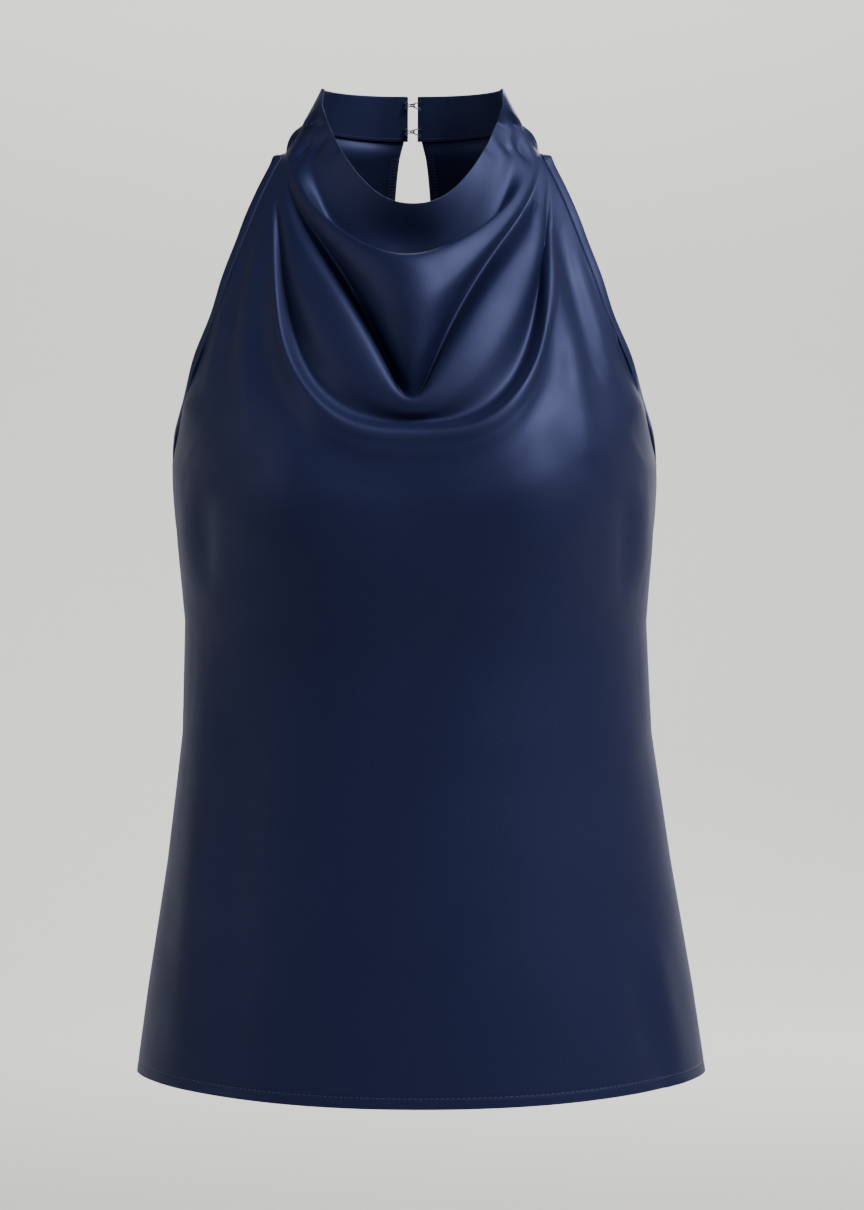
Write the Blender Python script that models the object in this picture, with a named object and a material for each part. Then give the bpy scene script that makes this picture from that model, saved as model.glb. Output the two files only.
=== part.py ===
"""High neck halter top in satin, with a cowl front and a keyhole back, filled out as when worn.

The origin is in the middle of the neck, level with the shoulder seams, where a wearer holds the
top up. The front faces -Y, +Z is up, and the wearer's left is at +X. Sizes below are in
millimetres, and a drop is a distance below the origin. Every surface is worked out as rows of
points, and a cloth wall is then laid inside it.
"""

from collections import namedtuple
import math

import bmesh
import bpy
import numpy as np

MM = 0.001

# Points from one to the next on a seam's line, on the side seam, and on a row before it is
# evened out, and how near counts as the same place
LINE_STEPS = 8
SIDE_POINTS = 60
ROW_POINTS = 161
BACK_ROW_POINTS = 121
NEAR = 1e-6

# Cloth walls, and the gap that is left between pieces that are sewn together
CLOTH = 1.2
BAND_CLOTH = 1.8
BINDING_CLOTH = 1.5
SEAM_GAP = 0.36

# Neck band: its top edge and the seam below it, from the centre back round to the front end
BandStation = namedtuple("BandStation", "top_x top_y top_drop low_x low_y low_drop")
BAND_STATIONS = (
    BandStation(3.2, 41.0, -25.5, 3.2, 46.0, 2.5),
    BandStation(22.0, 38.5, -25.5, 24.0, 43.5, 2.2),
    BandStation(39.0, 30.5, -25.5, 44.0, 34.5, 1.2),
    BandStation(51.0, 17.5, -25.5, 60.5, 18.5, -0.8),
    BandStation(56.6, 2.0, -25.3, 69.6, 0.0, -2.4),
    BandStation(57.2, -8.5, -24.5, 64.5, -10.5, -7.2),
    BandStation(56.6, -15.5, -23.4, 57.0, -17.5, -13.0),
)
NECK_POINT_STATION = 4

# Shoulder seam, from the neck point to the top of the armhole
EdgePoint = namedtuple("EdgePoint", "x front_y back_y drop")
SHOULDER = (
    EdgePoint(69.6, 0.0, 0.0, -2.4),
    EdgePoint(75.4, 0.0, 0.0, 2.4),
    EdgePoint(78.6, 0.0, 0.0, 8.2),
    EdgePoint(80.0, 0.0, 0.0, 15.0),
)

# Armhole seam, from the shoulder seam to the top of the side seam
ARMHOLE = (
    EdgePoint(80.0, 0.0, 0.0, 15.0),
    EdgePoint(81.3, -6.5, 6.5, 17.6),
    EdgePoint(85.6, -12.0, 12.5, 26.0),
    EdgePoint(91.5, -18.0, 19.0, 38.5),
    EdgePoint(103.8, -32.0, 35.0, 70.5),
    EdgePoint(114.8, -42.0, 49.0, 101.0),
    EdgePoint(125.4, -47.0, 56.0, 131.0),
    EdgePoint(137.6, -44.0, 54.0, 160.0),
    EdgePoint(146.6, -29.0, 37.0, 188.0),
    EdgePoint(150.6, -14.0, 19.0, 204.0),
    EdgePoint(152.4, 0.0, 0.0, 212.0),
)

# The filled-out body: half width at the side seam, centre front and centre back at each drop.
# The sections run from a shallow arch at the chest to a rounded oval below the armholes.
Section = namedtuple("Section", "drop half_width front back oval")
SECTIONS = (
    Section(-26.0, 57.0, -30.0, 41.0, 0.0),
    Section(0.0, 71.0, -38.0, 46.5, 0.0),
    Section(25.0, 86.0, -46.0, 54.0, 0.0),
    Section(53.0, 97.0, -56.0, 64.0, 0.0),
    Section(88.0, 110.0, -74.0, 77.0, 0.05),
    Section(116.0, 120.0, -89.0, 86.0, 0.15),
    Section(150.0, 134.0, -105.0, 94.0, 0.4),
    Section(185.0, 146.0, -119.0, 98.0, 0.75),
    Section(212.0, 152.4, -126.0, 98.5, 1.0),
    Section(240.0, 151.8, -130.0, 97.0, 1.0),
    Section(280.0, 147.2, -127.0, 92.0, 1.0),
    Section(325.0, 144.8, -120.0, 87.0, 1.0),
    Section(385.0, 148.0, -118.0, 90.0, 1.0),
    Section(445.0, 156.0, -120.0, 101.0, 1.0),
    Section(506.0, 165.7, -124.0, 111.0, 1.0),
    Section(566.0, 175.4, -127.0, 119.0, 1.0),
    Section(592.0, 178.8, -128.0, 122.0, 1.0),
)
ARCH_POWER = 2.2
OVAL_POWER = 2.35

# Bust: how far it stands forward of the sections, where its high points are, how far it reaches
BUST_RISE = 11.0
BUST_X = 84.0
BUST_DROP = 232.0
BUST_WIDTH = 46.0
BUST_HEIGHT = 58.0

# Places along a panel's edge: each seam starts at a whole number, so 2.25 is a quarter of the way
# down the armhole.
SHOULDER_SEAM, ARMHOLE_SEAM, SIDE_SEAM = 1.0, 2.0, 3.0

# Folds of the front, from the neckline down. Each runs from the left edge of the panel through a
# lowest point to the right edge. place is where it meets the edge; lift is how far the cloth
# stands forward of the body at the lowest point, and left and right are the same half way up
# each side. rise is the power of its curve and round how soft its lowest point is; steep is the
# share of the height that is gained at the ends, and tight how close to the ends. steps is how
# many rows of points lead to the next fold.
Fold = namedtuple("Fold", "name place low_x drop lift left right rise round steep tight steps")
FOLDS = (
    Fold("neckline", 0.0, 1.0, 53.0, 0.0, 0.0, 0.0, 2.0, 0.05, 0.10, 8.0, 3),
    Fold("throat_fall", 0.5, 1.0, 80.0, -23.0, -8.0, -3.0, 2.1, 0.05, 0.15, 8.0, 2),
    Fold("upper_pocket", 1.0, 0.0, 106.0, -28.0, -12.0, -6.0, 2.1, 0.05, 0.25, 8.0, 2),
    Fold("upper_lip", 2.0, -3.0, 88.0, 24.0, 9.0, 10.0, 1.55, 0.02, 0.30, 7.0, 2),
    Fold("bib_top", 2.013, 1.0, 112.0, 23.0, 9.0, 11.0, 1.0, 0.36, 0.25, 9.0, 3),
    Fold("bib_low", 2.025, 0.0, 150.0, 8.0, 3.0, 4.0, 0.7, 0.26, 0.20, 12.0, 2),
    Fold("middle_pocket", 2.038, -1.0, 186.0, -13.0, -5.0, -4.0, 0.6, 0.18, 0.15, 14.0, 2),
    Fold("middle_lip", 2.052, -1.0, 183.0, 3.0, 6.0, 9.0, 0.72, 0.16, 0.25, 14.0, 2),
    Fold("cheek", 2.066, -1.0, 187.0, 1.0, 5.0, 7.0, 1.4, 0.08, 0.40, 12.0, 2),
    Fold("lower_valley", 2.082, 0.0, 190.0, -3.0, -5.0, -5.0, 2.5, 0.08, 0.55, 10.0, 2),
    Fold("lower_arc", 2.10, 1.0, 196.0, 6.0, 7.0, 8.0, 3.0, 0.08, 0.55, 26.0, 2),
    Fold("under_arc", 2.17, 1.0, 206.0, 5.0, 4.0, 4.0, 3.0, 0.08, 0.50, 16.0, 2),
    Fold("chest_rise", 2.30, 1.0, 216.0, 3.0, 1.0, 1.0, 2.7, 0.05, 0.40, 8.0, 2),
    Fold("bust_top", 2.52, 1.0, 229.0, 1.0, 0.0, 0.0, 2.4, 0.05, 0.15, 6.0, 2),
    Fold("bust", 2.77, 1.0, 243.0, 0.0, 0.0, 0.0, 2.2, 0.05, 0.0, 6.0, 2),
    Fold("under_bust", 3.0, 1.0, 268.0, 0.0, 0.0, 0.0, 2.0, 0.05, 0.0, 6.0, 2),
)
# Level rows below the folds: the drop at the side seam and how much lower the centre front hangs
LevelRow = namedtuple("LevelRow", "side_drop sag steps")
LEVEL_ROWS = (
    LevelRow(262.0, 30.0, 2),
    LevelRow(310.0, 20.0, 3),
    LevelRow(380.0, 14.0, 3),
    LevelRow(460.0, 11.0, 3),
    LevelRow(540.0, 10.0, 2),
    LevelRow(592.0, 10.0, 0),
)

# Share of the way to the edge from where the cloth runs straight from one fold to the next
PLAIN_START = 0.8

# Rows of the back: their drop at the centre, and where each meets the edge
BackRow = namedtuple("BackRow", "drop place")
BACK_ROWS = (
    BackRow(13.0, 1.35),
    BackRow(25.0, 1.70),
    BackRow(38.0, 2.0),
    BackRow(54.0, 2.022),
    BackRow(68.0, 2.048),
    BackRow(76.0, 2.078),
    BackRow(81.5, 2.108),
    BackRow(85.5, 2.14),
    BackRow(88.5, 2.175),
    BackRow(100.0, 2.23),
    BackRow(122.0, 2.34),
    BackRow(148.0, 2.48),
    BackRow(175.0, 2.62),
    BackRow(200.0, 2.76),
    BackRow(221.0, 2.89),
    BackRow(238.0, 3.0),
)
BACK_LEVELS = (258.0, 288.0, 325.0, 370.0, 415.0, 460.0, 505.0, 550.0, 592.0)

# Power of the curve that takes a back row from the centre down to the edge
BACK_ROW_CURVE = 2.2

# Keyhole: half width at the neck seam, at its round end, and the drop of that round's centre
KEYHOLE_TOP = 5.6
KEYHOLE_HALF = 12.5
KEYHOLE_ROUND = 76.0
KEYHOLE_FLARE = 0.6

# Armhole binding
BINDING_WIDTH = 6.6

# Hooks and eyes at the centre back: their names and drops, and their wire. The hook's doubled
# shank ends in two rings on one side of the closure and in a nose that bends back as a bill. The
# eye's arch leads from two rings on the other side and lies in the bill.
Fastener = namedtuple("Fastener", "name drop")
FASTENERS = (Fastener("upper", -19.5), Fastener("lower", -3.0))
WIRE = 0.7
WIRE_CLEARANCE = 0.55
RING_RADIUS = 0.9
RING_X = 4.15
HOOK_SPREAD = 0.65
HOOK_NOSE_X = 1.5
HOOK_BILL_X = -0.7
BILL_RISE = 2.0
EYE_SPREAD = 1.6
EYE_TIP_X = 0.35

# Number of points across each half of the panels, and along the band and the binding
FRONT_COLUMNS = 17
BACK_COLUMNS = 12
BAND_COLUMNS = 17
BAND_ROWS = 3
BINDING_COLUMNS = 2

# The sides of the top aren't quite alike: its middle line at each drop
LeanPoint = namedtuple("LeanPoint", "drop x")
LEAN = (
    LeanPoint(-30.0, -2.2),
    LeanPoint(113.0, -2.2),
    LeanPoint(190.0, -1.2),
    LeanPoint(325.0, 0.0),
    LeanPoint(475.0, 2.2),
    LeanPoint(610.0, 3.4),
)

# Slope of the cloth at the neck seam, and the reach over which the binding's tilt is evened out
NECK_SLOPE = 0.35
EVEN_REACH = 7.0

HANDS = (("left", 1), ("right", -1))
MIRROR = np.array([-1.0, 1.0, 1.0])

SATIN = ("satin", (0.018, 0.024, 0.072, 1.0), 0.38, 0.1)
METAL = ("enamelled_wire", (0.02, 0.02, 0.035, 1.0), 0.3, 0.9)


def column(table, name):
    """One named column of a table."""
    return np.array([getattr(row, name) for row in table], float)


def spline(knots, values, at):
    """A smooth curve through the values at the knots, with slopes taken from the neighbours."""
    knots = np.asarray(knots, float)
    values = np.asarray(values, float)
    at = np.clip(np.asarray(at, float), knots[0], knots[-1])
    spans = np.diff(knots)
    shape = (-1,) + (1,) * (values.ndim - 1)
    rates = np.diff(values, axis=0) / spans.reshape(shape)
    slopes = np.empty_like(values)
    before = spans[:-1].reshape(shape)
    after = spans[1:].reshape(shape)
    slopes[1:-1] = (rates[:-1] * after + rates[1:] * before) / (before + after)
    slopes[0] = rates[0]
    slopes[-1] = rates[-1]
    i = np.clip(np.searchsorted(knots, at) - 1, 0, len(spans) - 1)
    wide = at.shape + (1,) * (values.ndim - 1)
    span = spans[i].reshape(wide)
    t = ((at - knots[i]) / spans[i]).reshape(wide)
    s = 1.0 - t
    return (
        (1 + 2 * t) * s * s * values[i]
        + t * s * s * span * slopes[i]
        + t * t * (3 - 2 * t) * values[i + 1]
        - t * t * s * span * slopes[i + 1]
    )


def unit(vectors):
    """Vectors scaled to length one."""
    lengths = np.linalg.norm(vectors, axis=-1, keepdims=True)
    return vectors / np.maximum(lengths, 1e-9)


def lengths_along(points):
    """Distance of each point from the first, along the line through them."""
    steps = np.linalg.norm(np.diff(points, axis=0), axis=1)
    return np.concatenate(([0.0], np.cumsum(steps)))


def even(points, count):
    """The line through the points, as count points at even distances along it."""
    along = lengths_along(points)
    wanted = np.linspace(0.0, along[-1], count)
    return np.stack([np.interp(wanted, along, points[:, axis]) for axis in range(3)], axis=1)


def drawn(points):
    """A smooth dense line through a few points, with the same number of steps between each."""
    along = lengths_along(points)
    index = np.linspace(0.0, len(points) - 1, LINE_STEPS * (len(points) - 1) + 1)
    return spline(along, points, np.interp(index, np.arange(len(points)), along))


def neck_line():
    """The seam below the band at +X, from the centre back to its front end."""
    return drawn(np.array([(s.low_x, s.low_y, -s.low_drop) for s in BAND_STATIONS], float))


def edge_runs(side):
    """The seams along the outer edge of the front or back, as a smooth line for each."""
    y_name = side + "_y"
    runs = [neck_line()[NECK_POINT_STATION * LINE_STEPS:][::-1]]
    for table in (SHOULDER, ARMHOLE):
        points = [(p.x, getattr(p, y_name), -p.drop) for p in table]
        runs.append(drawn(np.array(points, float)))
    drops = np.linspace(ARMHOLE[-1].drop, SECTIONS[-1].drop, SIDE_POINTS)
    widths = spline(column(SECTIONS, "drop"), column(SECTIONS, "half_width"), drops)
    runs.append(np.stack([widths, np.zeros_like(drops), -drops], axis=1))
    return runs


def edge_points(side, places):
    """Points of the outer edge at the places along it."""
    runs = edge_runs(side)
    points = []
    for place in places:
        seam = min(int(place + NEAR), len(runs) - 1)
        line = runs[seam]
        along = lengths_along(line)
        at = (place - seam) * along[-1]
        points.append([np.interp(at, along, line[:, axis]) for axis in range(3)])
    return np.array(points)


def place_of_drop(side, drop):
    """The place on the side seam at a drop."""
    line = edge_runs(side)[int(SIDE_SEAM)]
    along = lengths_along(line)
    return SIDE_SEAM + np.interp(drop, -line[:, 2], along) / along[-1]


def edge_at_drop(side, drops):
    """Half width and depth of the outer edge at each drop."""
    runs = edge_runs(side)
    line = np.concatenate(runs if side == "front" else runs[int(SHOULDER_SEAM):])
    line = line[np.argsort(-line[:, 2], kind="stable")]
    return np.interp(drops, -line[:, 2], line[:, 0]), np.interp(drops, -line[:, 2], line[:, 1])


def body_depth(side, x, drops):
    """Depth of the filled-out body at each distance from the middle and each drop."""
    known = column(SECTIONS, "drop")
    middle = spline(known, column(SECTIONS, side), drops)
    oval = np.clip(spline(known, column(SECTIONS, "oval"), drops), 0.0, 1.0)
    edge_x, edge_y = edge_at_drop(side, drops)
    t = np.clip(np.abs(x) / edge_x, 0.0, 1.0)
    power = ARCH_POWER + (OVAL_POWER - ARCH_POWER) * oval
    arch = 1.0 - t ** power
    rounded = np.clip(1.0 - t ** power, 0.0, 1.0) ** 0.5
    share = arch + (rounded - arch) * oval
    depth = edge_y + (middle - edge_y) * share
    if side == "front":
        across = (np.abs(x) - BUST_X) / BUST_WIDTH
        down = (drops - BUST_DROP) / BUST_HEIGHT
        depth = depth - BUST_RISE * np.exp(-across ** 2 - down ** 2) * (1.0 - t ** 6)
    return depth


def climb(t, fold):
    """Share of a fold's height that is gained at each share of the way to its end."""
    soft = fold.round
    start = (np.sqrt(t * t + soft * soft) - soft) / (math.sqrt(1 + soft * soft) - soft)
    return (1.0 - fold.steep) * start ** fold.rise + fold.steep * t ** fold.tight


def half_fold(fold, hand, columns):
    """One half of a fold, from its lowest point to the edge; hand is -1 left and 1 right."""
    end = edge_points("front", [fold.place])[0]
    t = np.sin(np.linspace(0.0, math.pi / 2, ROW_POINTS))
    low_x = hand * fold.low_x
    x = low_x + (end[0] - low_x) * t
    z = -fold.drop + (end[2] + fold.drop) * climb(t, fold)
    flat = np.stack([x, np.zeros_like(x), z], axis=1)
    share = lengths_along(flat) / lengths_along(flat)[-1]
    side_lift = fold.left if hand < 0 else fold.right
    lift = spline([0.0, 0.5, 1.0], [fold.lift, side_lift, 0.0], share) * (1 - share ** 4)
    y = body_depth("front", x, -z) - lift
    y[-1] = end[1]
    line = even(np.stack([x, y, z], axis=1), columns + 1)
    line[:, 0] *= hand
    return line


def level_half(side, side_drop, sag, hand, columns):
    """Half of a level row below the armholes, from the middle to the side seam."""
    theta = np.linspace(0.0, math.pi / 2, ROW_POINTS)
    half = spline(column(SECTIONS, "drop"), column(SECTIONS, "half_width"), side_drop)
    x = half * np.sin(theta)
    drops = side_drop + sag * np.cos(theta) ** 2
    edge_x = edge_at_drop(side, drops)[0]
    x = np.minimum(x * edge_x / half, edge_x)
    y = body_depth(side, x, drops)
    y[-1] = 0.0
    line = even(np.stack([x, y, -drops], axis=1), columns + 1)
    line[:, 0] *= hand
    return line


def front_key_rows(columns):
    """The folds and level rows of the front from left to right, their places and steps."""
    rows = []
    places = []
    steps = []
    for fold in FOLDS:
        halves = [half_fold(fold, hand, columns) for hand in (-1, 1)]
        rows.append(np.concatenate([halves[0][:0:-1], halves[1]]))
        places.append(fold.place)
        steps.append(fold.steps)
    for row in LEVEL_ROWS:
        halves = [level_half("front", row.side_drop, row.sag, hand, columns) for hand in (-1, 1)]
        rows.append(np.concatenate([halves[0][:0:-1], halves[1]]))
        places.append(place_of_drop("front", row.side_drop))
        steps.append(row.steps)
    return np.array(rows), places, steps


def front_surface(columns):
    """Outer face of the front as rows of points, folds and all, and the rows' places."""
    keys, places, steps = front_key_rows(columns)
    middle = keys.shape[1] // 2
    quarter = middle // 2
    paths = [lengths_along(keys[:, c]) for c in (middle - quarter, middle, middle + quarter)]
    knots = np.mean(paths, axis=0)
    wanted = [knots[0]]
    for i, count in enumerate(steps[:-1]):
        wanted.extend(np.linspace(knots[i], knots[i + 1], count + 1)[1:])
    wanted = np.array(wanted)
    straight = np.interp(wanted, knots, np.arange(len(knots)))
    above = np.minimum(straight.astype(int), len(knots) - 2)
    share = (straight - above)[:, None, None]
    straight = keys[above] * (1 - share) + keys[above + 1] * share
    off_middle = np.abs(np.linspace(-1.0, 1.0, keys.shape[1]))[:, None]
    plain = np.clip((off_middle - PLAIN_START) / (1 - PLAIN_START), 0.0, 1.0) ** 0.5
    surface = spline(knots, keys, wanted) * (1 - plain) + straight * plain
    row_places = np.interp(wanted, knots, places)
    edge = edge_points("front", row_places)
    surface[:, -1] = edge
    surface[:, 0] = edge * MIRROR
    return surface, row_places


def keyhole_half_width(drops):
    """Half width of the keyhole at each drop, zero below its round end."""
    top = BAND_STATIONS[0].low_drop
    flare = np.clip((drops - top) / (KEYHOLE_ROUND - top), 0.0, 1.0)
    side = KEYHOLE_TOP + (KEYHOLE_HALF - KEYHOLE_TOP) * np.sin(flare * math.pi / 2) ** KEYHOLE_FLARE
    round_end = np.sqrt(np.clip(KEYHOLE_HALF ** 2 - (drops - KEYHOLE_ROUND) ** 2, 0.0, None))
    return np.where(drops < KEYHOLE_ROUND, side, round_end)


def back_half_row(row, columns):
    """Half of a back row, from the keyhole or the middle to the edge."""
    end = edge_points("back", [row.place])[0]
    start_x = float(keyhole_half_width(np.array(row.drop)))
    t = np.sin(np.linspace(0.0, math.pi / 2, BACK_ROW_POINTS))
    x = start_x + (end[0] - start_x) * t
    drops = row.drop + (-end[2] - row.drop) * t ** BACK_ROW_CURVE
    y = body_depth("back", x, drops)
    y[-1] = end[1]
    return even(np.stack([x, y, -drops], axis=1), columns + 1)


def back_top_row(columns):
    """The back's neck seam, from the keyhole to the neck point."""
    line = neck_line()[:NECK_POINT_STATION * LINE_STEPS + 1]
    along = lengths_along(line)
    start = np.interp(KEYHOLE_TOP, line[:, 0], along)
    wanted = np.linspace(start, along[-1], columns + 1)
    return np.stack([np.interp(wanted, along, line[:, axis]) for axis in range(3)], axis=1)


def back_surface(columns):
    """Outer face of one half of the back as rows of points, for the side at +X."""
    rows = [back_top_row(columns)]
    rows += [back_half_row(row, columns) for row in BACK_ROWS]
    rows += [level_half("back", drop, 0.0, 1, columns) for drop in BACK_LEVELS]
    places = [SHOULDER_SEAM] + [row.place for row in BACK_ROWS]
    places += [place_of_drop("back", drop) for drop in BACK_LEVELS]
    return np.array(rows), np.array(places)


def grid_normals(grid, outward=1.0):
    """Unit normals of a grid of points, from the lines that cross at each point."""
    down = np.gradient(grid, axis=0)
    across = np.gradient(grid, axis=1)
    return outward * unit(np.cross(down, across))


def seam_line_normals(line, slope):
    """Outward directions square to a seam that runs round the neck, tilted up by slope."""
    tangent = unit(np.gradient(line, axis=0))
    level = np.stack([-tangent[:, 1], tangent[:, 0], np.full(len(line), slope)], axis=1)
    level -= tangent * np.sum(level * tangent, axis=1, keepdims=True)
    return unit(level)


def seam_normals(points):
    """Outward direction that the walls share where two pieces meet, for points at +X."""
    neck = neck_line()
    lines = [neck]
    normals = [seam_line_normals(neck, NECK_SLOPE)]
    for run in edge_runs("front")[int(SHOULDER_SEAM)::2]:
        tangent = unit(np.gradient(run, axis=0))
        lines.append(run)
        normals.append(unit(tangent[:, [2, 1, 0]] * np.array([-1.0, 0.0, 1.0])))
    lines = np.concatenate(lines)
    normals = np.concatenate(normals)
    found = [int(np.argmin(np.linalg.norm(lines - point, axis=1))) for point in points]
    return normals[found]


def drawn_in(border, normals, inner, distance):
    """Points of a border moved away from its seam, towards the cloth's next points."""
    across = unit(np.cross(normals, unit(np.gradient(border, axis=0))))
    side = np.sign(np.sum(across * (inner - border), axis=1, keepdims=True))
    return border + across * side * distance


def in_armhole(places):
    """True for the rows that end on the armhole, between the shoulder and side seams."""
    return (places > ARMHOLE_SEAM + NEAR) & (places < SIDE_SEAM - NEAR)


def lean(points):
    """Points moved across to the middle line that the top has at their height."""
    moved = np.array(points, float)
    moved[..., 0] += spline(column(LEAN, "drop"), column(LEAN, "x"), -moved[..., 2])
    return moved


def wall_pair(shape, found, outer, inner):
    """The outer and inner vertex of a wall at one point, made only once for each place."""
    key = tuple(np.round(outer, 4))
    if key not in found:
        found[key] = (shape.verts.new(outer * MM), shape.verts.new(inner * MM))
    return found[key]


def wall_object(name, sheets, material):
    """A closed cloth wall from sheets of outer and inner points, joined where they meet."""
    shape = bmesh.new()
    found = {}
    for outer, inner in sheets:
        pairs = [
            [wall_pair(shape, found, p, q) for p, q in zip(outer_row, inner_row)]
            for outer_row, inner_row in zip(lean(outer), lean(inner))
        ]
        for upper, lower in zip(pairs, pairs[1:]):
            for c in range(len(upper) - 1):
                add_wall_cell(shape, (upper[c], lower[c], lower[c + 1], upper[c + 1]))
    inner_of = dict(found.values())
    rims = [edge for edge in shape.edges if edge.is_boundary and edge.verts[0] in inner_of]
    for edge in rims:
        a, b = edge.verts
        shape.faces.new((b, a, inner_of[a], inner_of[b]))
    bmesh.ops.recalc_face_normals(shape, faces=shape.faces)
    bmesh.ops.triangulate(shape, faces=shape.faces)
    mesh = bpy.data.meshes.new(name)
    shape.to_mesh(mesh)
    shape.free()
    return add_object(name, mesh, material)


def add_wall_cell(shape, corners):
    """The outer and inner faces of one cell, both cut along its shorter diagonal."""
    outer = [pair[0] for pair in corners]
    straight = (outer[0].co - outer[2].co).length <= (outer[1].co - outer[3].co).length
    for cut in ((0, 1, 2), (0, 2, 3)) if straight else ((0, 1, 3), (1, 2, 3)):
        if len({corners[i] for i in cut}) == 3:
            shape.faces.new([corners[i][0] for i in cut])
            shape.faces.new([corners[i][1] for i in reversed(cut)])


def add_object(name, mesh, material):
    """A named object of the mesh, with its material."""
    mesh.materials.append(material)
    piece = bpy.data.objects.new(name, mesh)
    bpy.context.scene.collection.objects.link(piece)
    return piece


def make_material(name, colour, roughness, metallic):
    """A plain Principled material."""
    material = bpy.data.materials.new(name)
    material.use_nodes = True
    shader = material.node_tree.nodes["Principled BSDF"]
    shader.inputs["Base Color"].default_value = colour
    shader.inputs["Roughness"].default_value = roughness
    shader.inputs["Metallic"].default_value = metallic
    return material


def front_sheet(columns):
    """Outer points of the front, its normals and its row places."""
    outer, places = front_surface(columns)
    normals = grid_normals(outer)
    sewn = ~in_armhole(places)
    normals[sewn, -1] = seam_normals(outer[sewn, -1])
    normals[:, 0] = normals[:, -1] * MIRROR
    return outer, normals, places


def back_sheet(columns):
    """Outer points of the half of the back at +X, its normals and its row places."""
    outer, places = back_surface(columns)
    normals = grid_normals(outer, -1.0)
    sewn = ~in_armhole(places)
    normals[sewn, -1] = seam_normals(outer[sewn, -1])
    normals[0] = seam_normals(outer[0])
    middle = np.abs(outer[:, 0, 0]) < NEAR
    normals[middle, 0, 0] = 0.0
    return outer, unit(normals), places


def evened_out(loop, directions):
    """Directions along a closed line of points, each averaged with those close to it."""
    along = lengths_along(np.concatenate([loop, loop[:1]]))
    apart = np.abs(along[:-1, None] - along[None, :-1])
    apart = np.minimum(apart, along[-1] - apart)
    spacing = (np.diff(along) + np.roll(np.diff(along), 1)) / 2
    weights = np.exp(-(apart / EVEN_REACH) ** 2) * spacing
    return unit(weights @ unit(directions))


def armhole_loop(front, back):
    """Points all round the armhole at +X, down the front and up the back, with even normals.

    The normals of the panels' edges are evened out with them.
    """
    outer, normals, places = front
    down = np.flatnonzero((places > ARMHOLE_SEAM - NEAR) & (places < SIDE_SEAM + NEAR))
    back_outer, back_normals, back_places = back
    up = np.flatnonzero(in_armhole(back_places))[::-1]
    line = np.concatenate([outer[down, -1], back_outer[up, -1]])
    even_normals = np.concatenate([normals[down, -1], back_normals[up, -1]])
    even_normals = evened_out(line, even_normals)
    tangent = evened_out(line, np.roll(line, -1, axis=0) - np.roll(line, 1, axis=0))
    across = unit(np.cross(even_normals, tangent))
    even_normals = unit(np.cross(tangent, across))
    normals[down, -1] = even_normals[:len(down)]
    normals[down, 0] = normals[down, -1] * MIRROR
    back_normals[up, -1] = even_normals[len(down):]
    for ends in (ARMHOLE_SEAM, SIDE_SEAM):
        shared = normals[np.argmin(np.abs(places - ends)), -1]
        back_normals[np.argmin(np.abs(back_places - ends)), -1] = shared
    return line, across, even_normals


def make_front(front, satin):
    """The front panel, cut in one with its cowl."""
    outer, normals, _ = front
    outer = outer.copy()
    outer[:, -1] = drawn_in(outer[:, -1], normals[:, -1], outer[:, -2], SEAM_GAP / 2)
    outer[:, 0] = drawn_in(outer[:, 0], normals[:, 0], outer[:, 1], SEAM_GAP / 2)
    return wall_object("front_panel", [(outer, outer - normals * CLOTH)], satin)


def make_back(back, satin):
    """The back panel, with its keyhole open at the neck."""
    outer, normals, _ = back
    outer = outer.copy()
    outer[:, -1] = drawn_in(outer[:, -1], normals[:, -1], outer[:, -2], SEAM_GAP / 2)
    outer[0] = drawn_in(outer[0], normals[0], outer[1], SEAM_GAP / 2)
    inner = outer - normals * CLOTH
    halves = [(outer, inner), ((outer * MIRROR)[:, ::-1], (inner * MIRROR)[:, ::-1])]
    return wall_object("back_panel", halves, satin)


def band_sheet(columns, rows):
    """Outer points of the half band at +X, from its top edge down, and their normals."""
    tops = drawn(np.array([(s.top_x, s.top_y, -s.top_drop) for s in BAND_STATIONS], float))
    lows = neck_line()
    at = np.linspace(0.0, len(tops) - 1, columns)
    index = np.arange(len(tops))
    top = np.stack([np.interp(at, index, tops[:, axis]) for axis in range(3)], axis=1)
    low = np.stack([np.interp(at, index, lows[:, axis]) for axis in range(3)], axis=1)
    share = np.linspace(0.0, 1.0, rows + 1)[:, None, None]
    outer = top + (low - top) * share
    normals = grid_normals(outer, -1.0)
    normals[-1] = seam_normals(outer[-1])
    return outer, normals


def make_band(name, hand, satin):
    """One half of the neck band, from the centre back to the front neck seam."""
    outer, normals = band_sheet(BAND_COLUMNS, BAND_ROWS)
    outer[-1] = drawn_in(outer[-1], normals[-1], outer[-2], SEAM_GAP / 2)
    inner = outer - normals * BAND_CLOTH
    if hand < 0:
        outer = (outer * MIRROR)[:, ::-1]
        inner = (inner * MIRROR)[:, ::-1]
    return wall_object(name, [(outer, inner)], satin)


def make_binding(name, hand, loop, satin):
    """The strip that binds one armhole."""
    line, across, normals = (np.concatenate([part, part[:1]]) for part in loop)
    reach = np.linspace(SEAM_GAP / 2, SEAM_GAP / 2 + BINDING_WIDTH, BINDING_COLUMNS + 1)
    outer = line[:, None, :] + across[:, None, :] * reach[:, None]
    inner = outer - normals[:, None, :] * BINDING_CLOTH
    if hand < 0:
        outer = (outer * MIRROR)[:, ::-1]
        inner = (inner * MIRROR)[:, ::-1]
    return wall_object(name, [(outer, inner)], satin)


def arc(centre, start, end, radius, plane, steps=6):
    """Points along an arc in the plane of two axes, at angles in degrees."""
    points = []
    for angle in np.radians(np.linspace(start, end, steps + 1)):
        point = np.array(centre, float)
        point[plane[0]] += radius * math.cos(angle)
        point[plane[1]] += radius * math.sin(angle)
        points.append(point)
    return points


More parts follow.
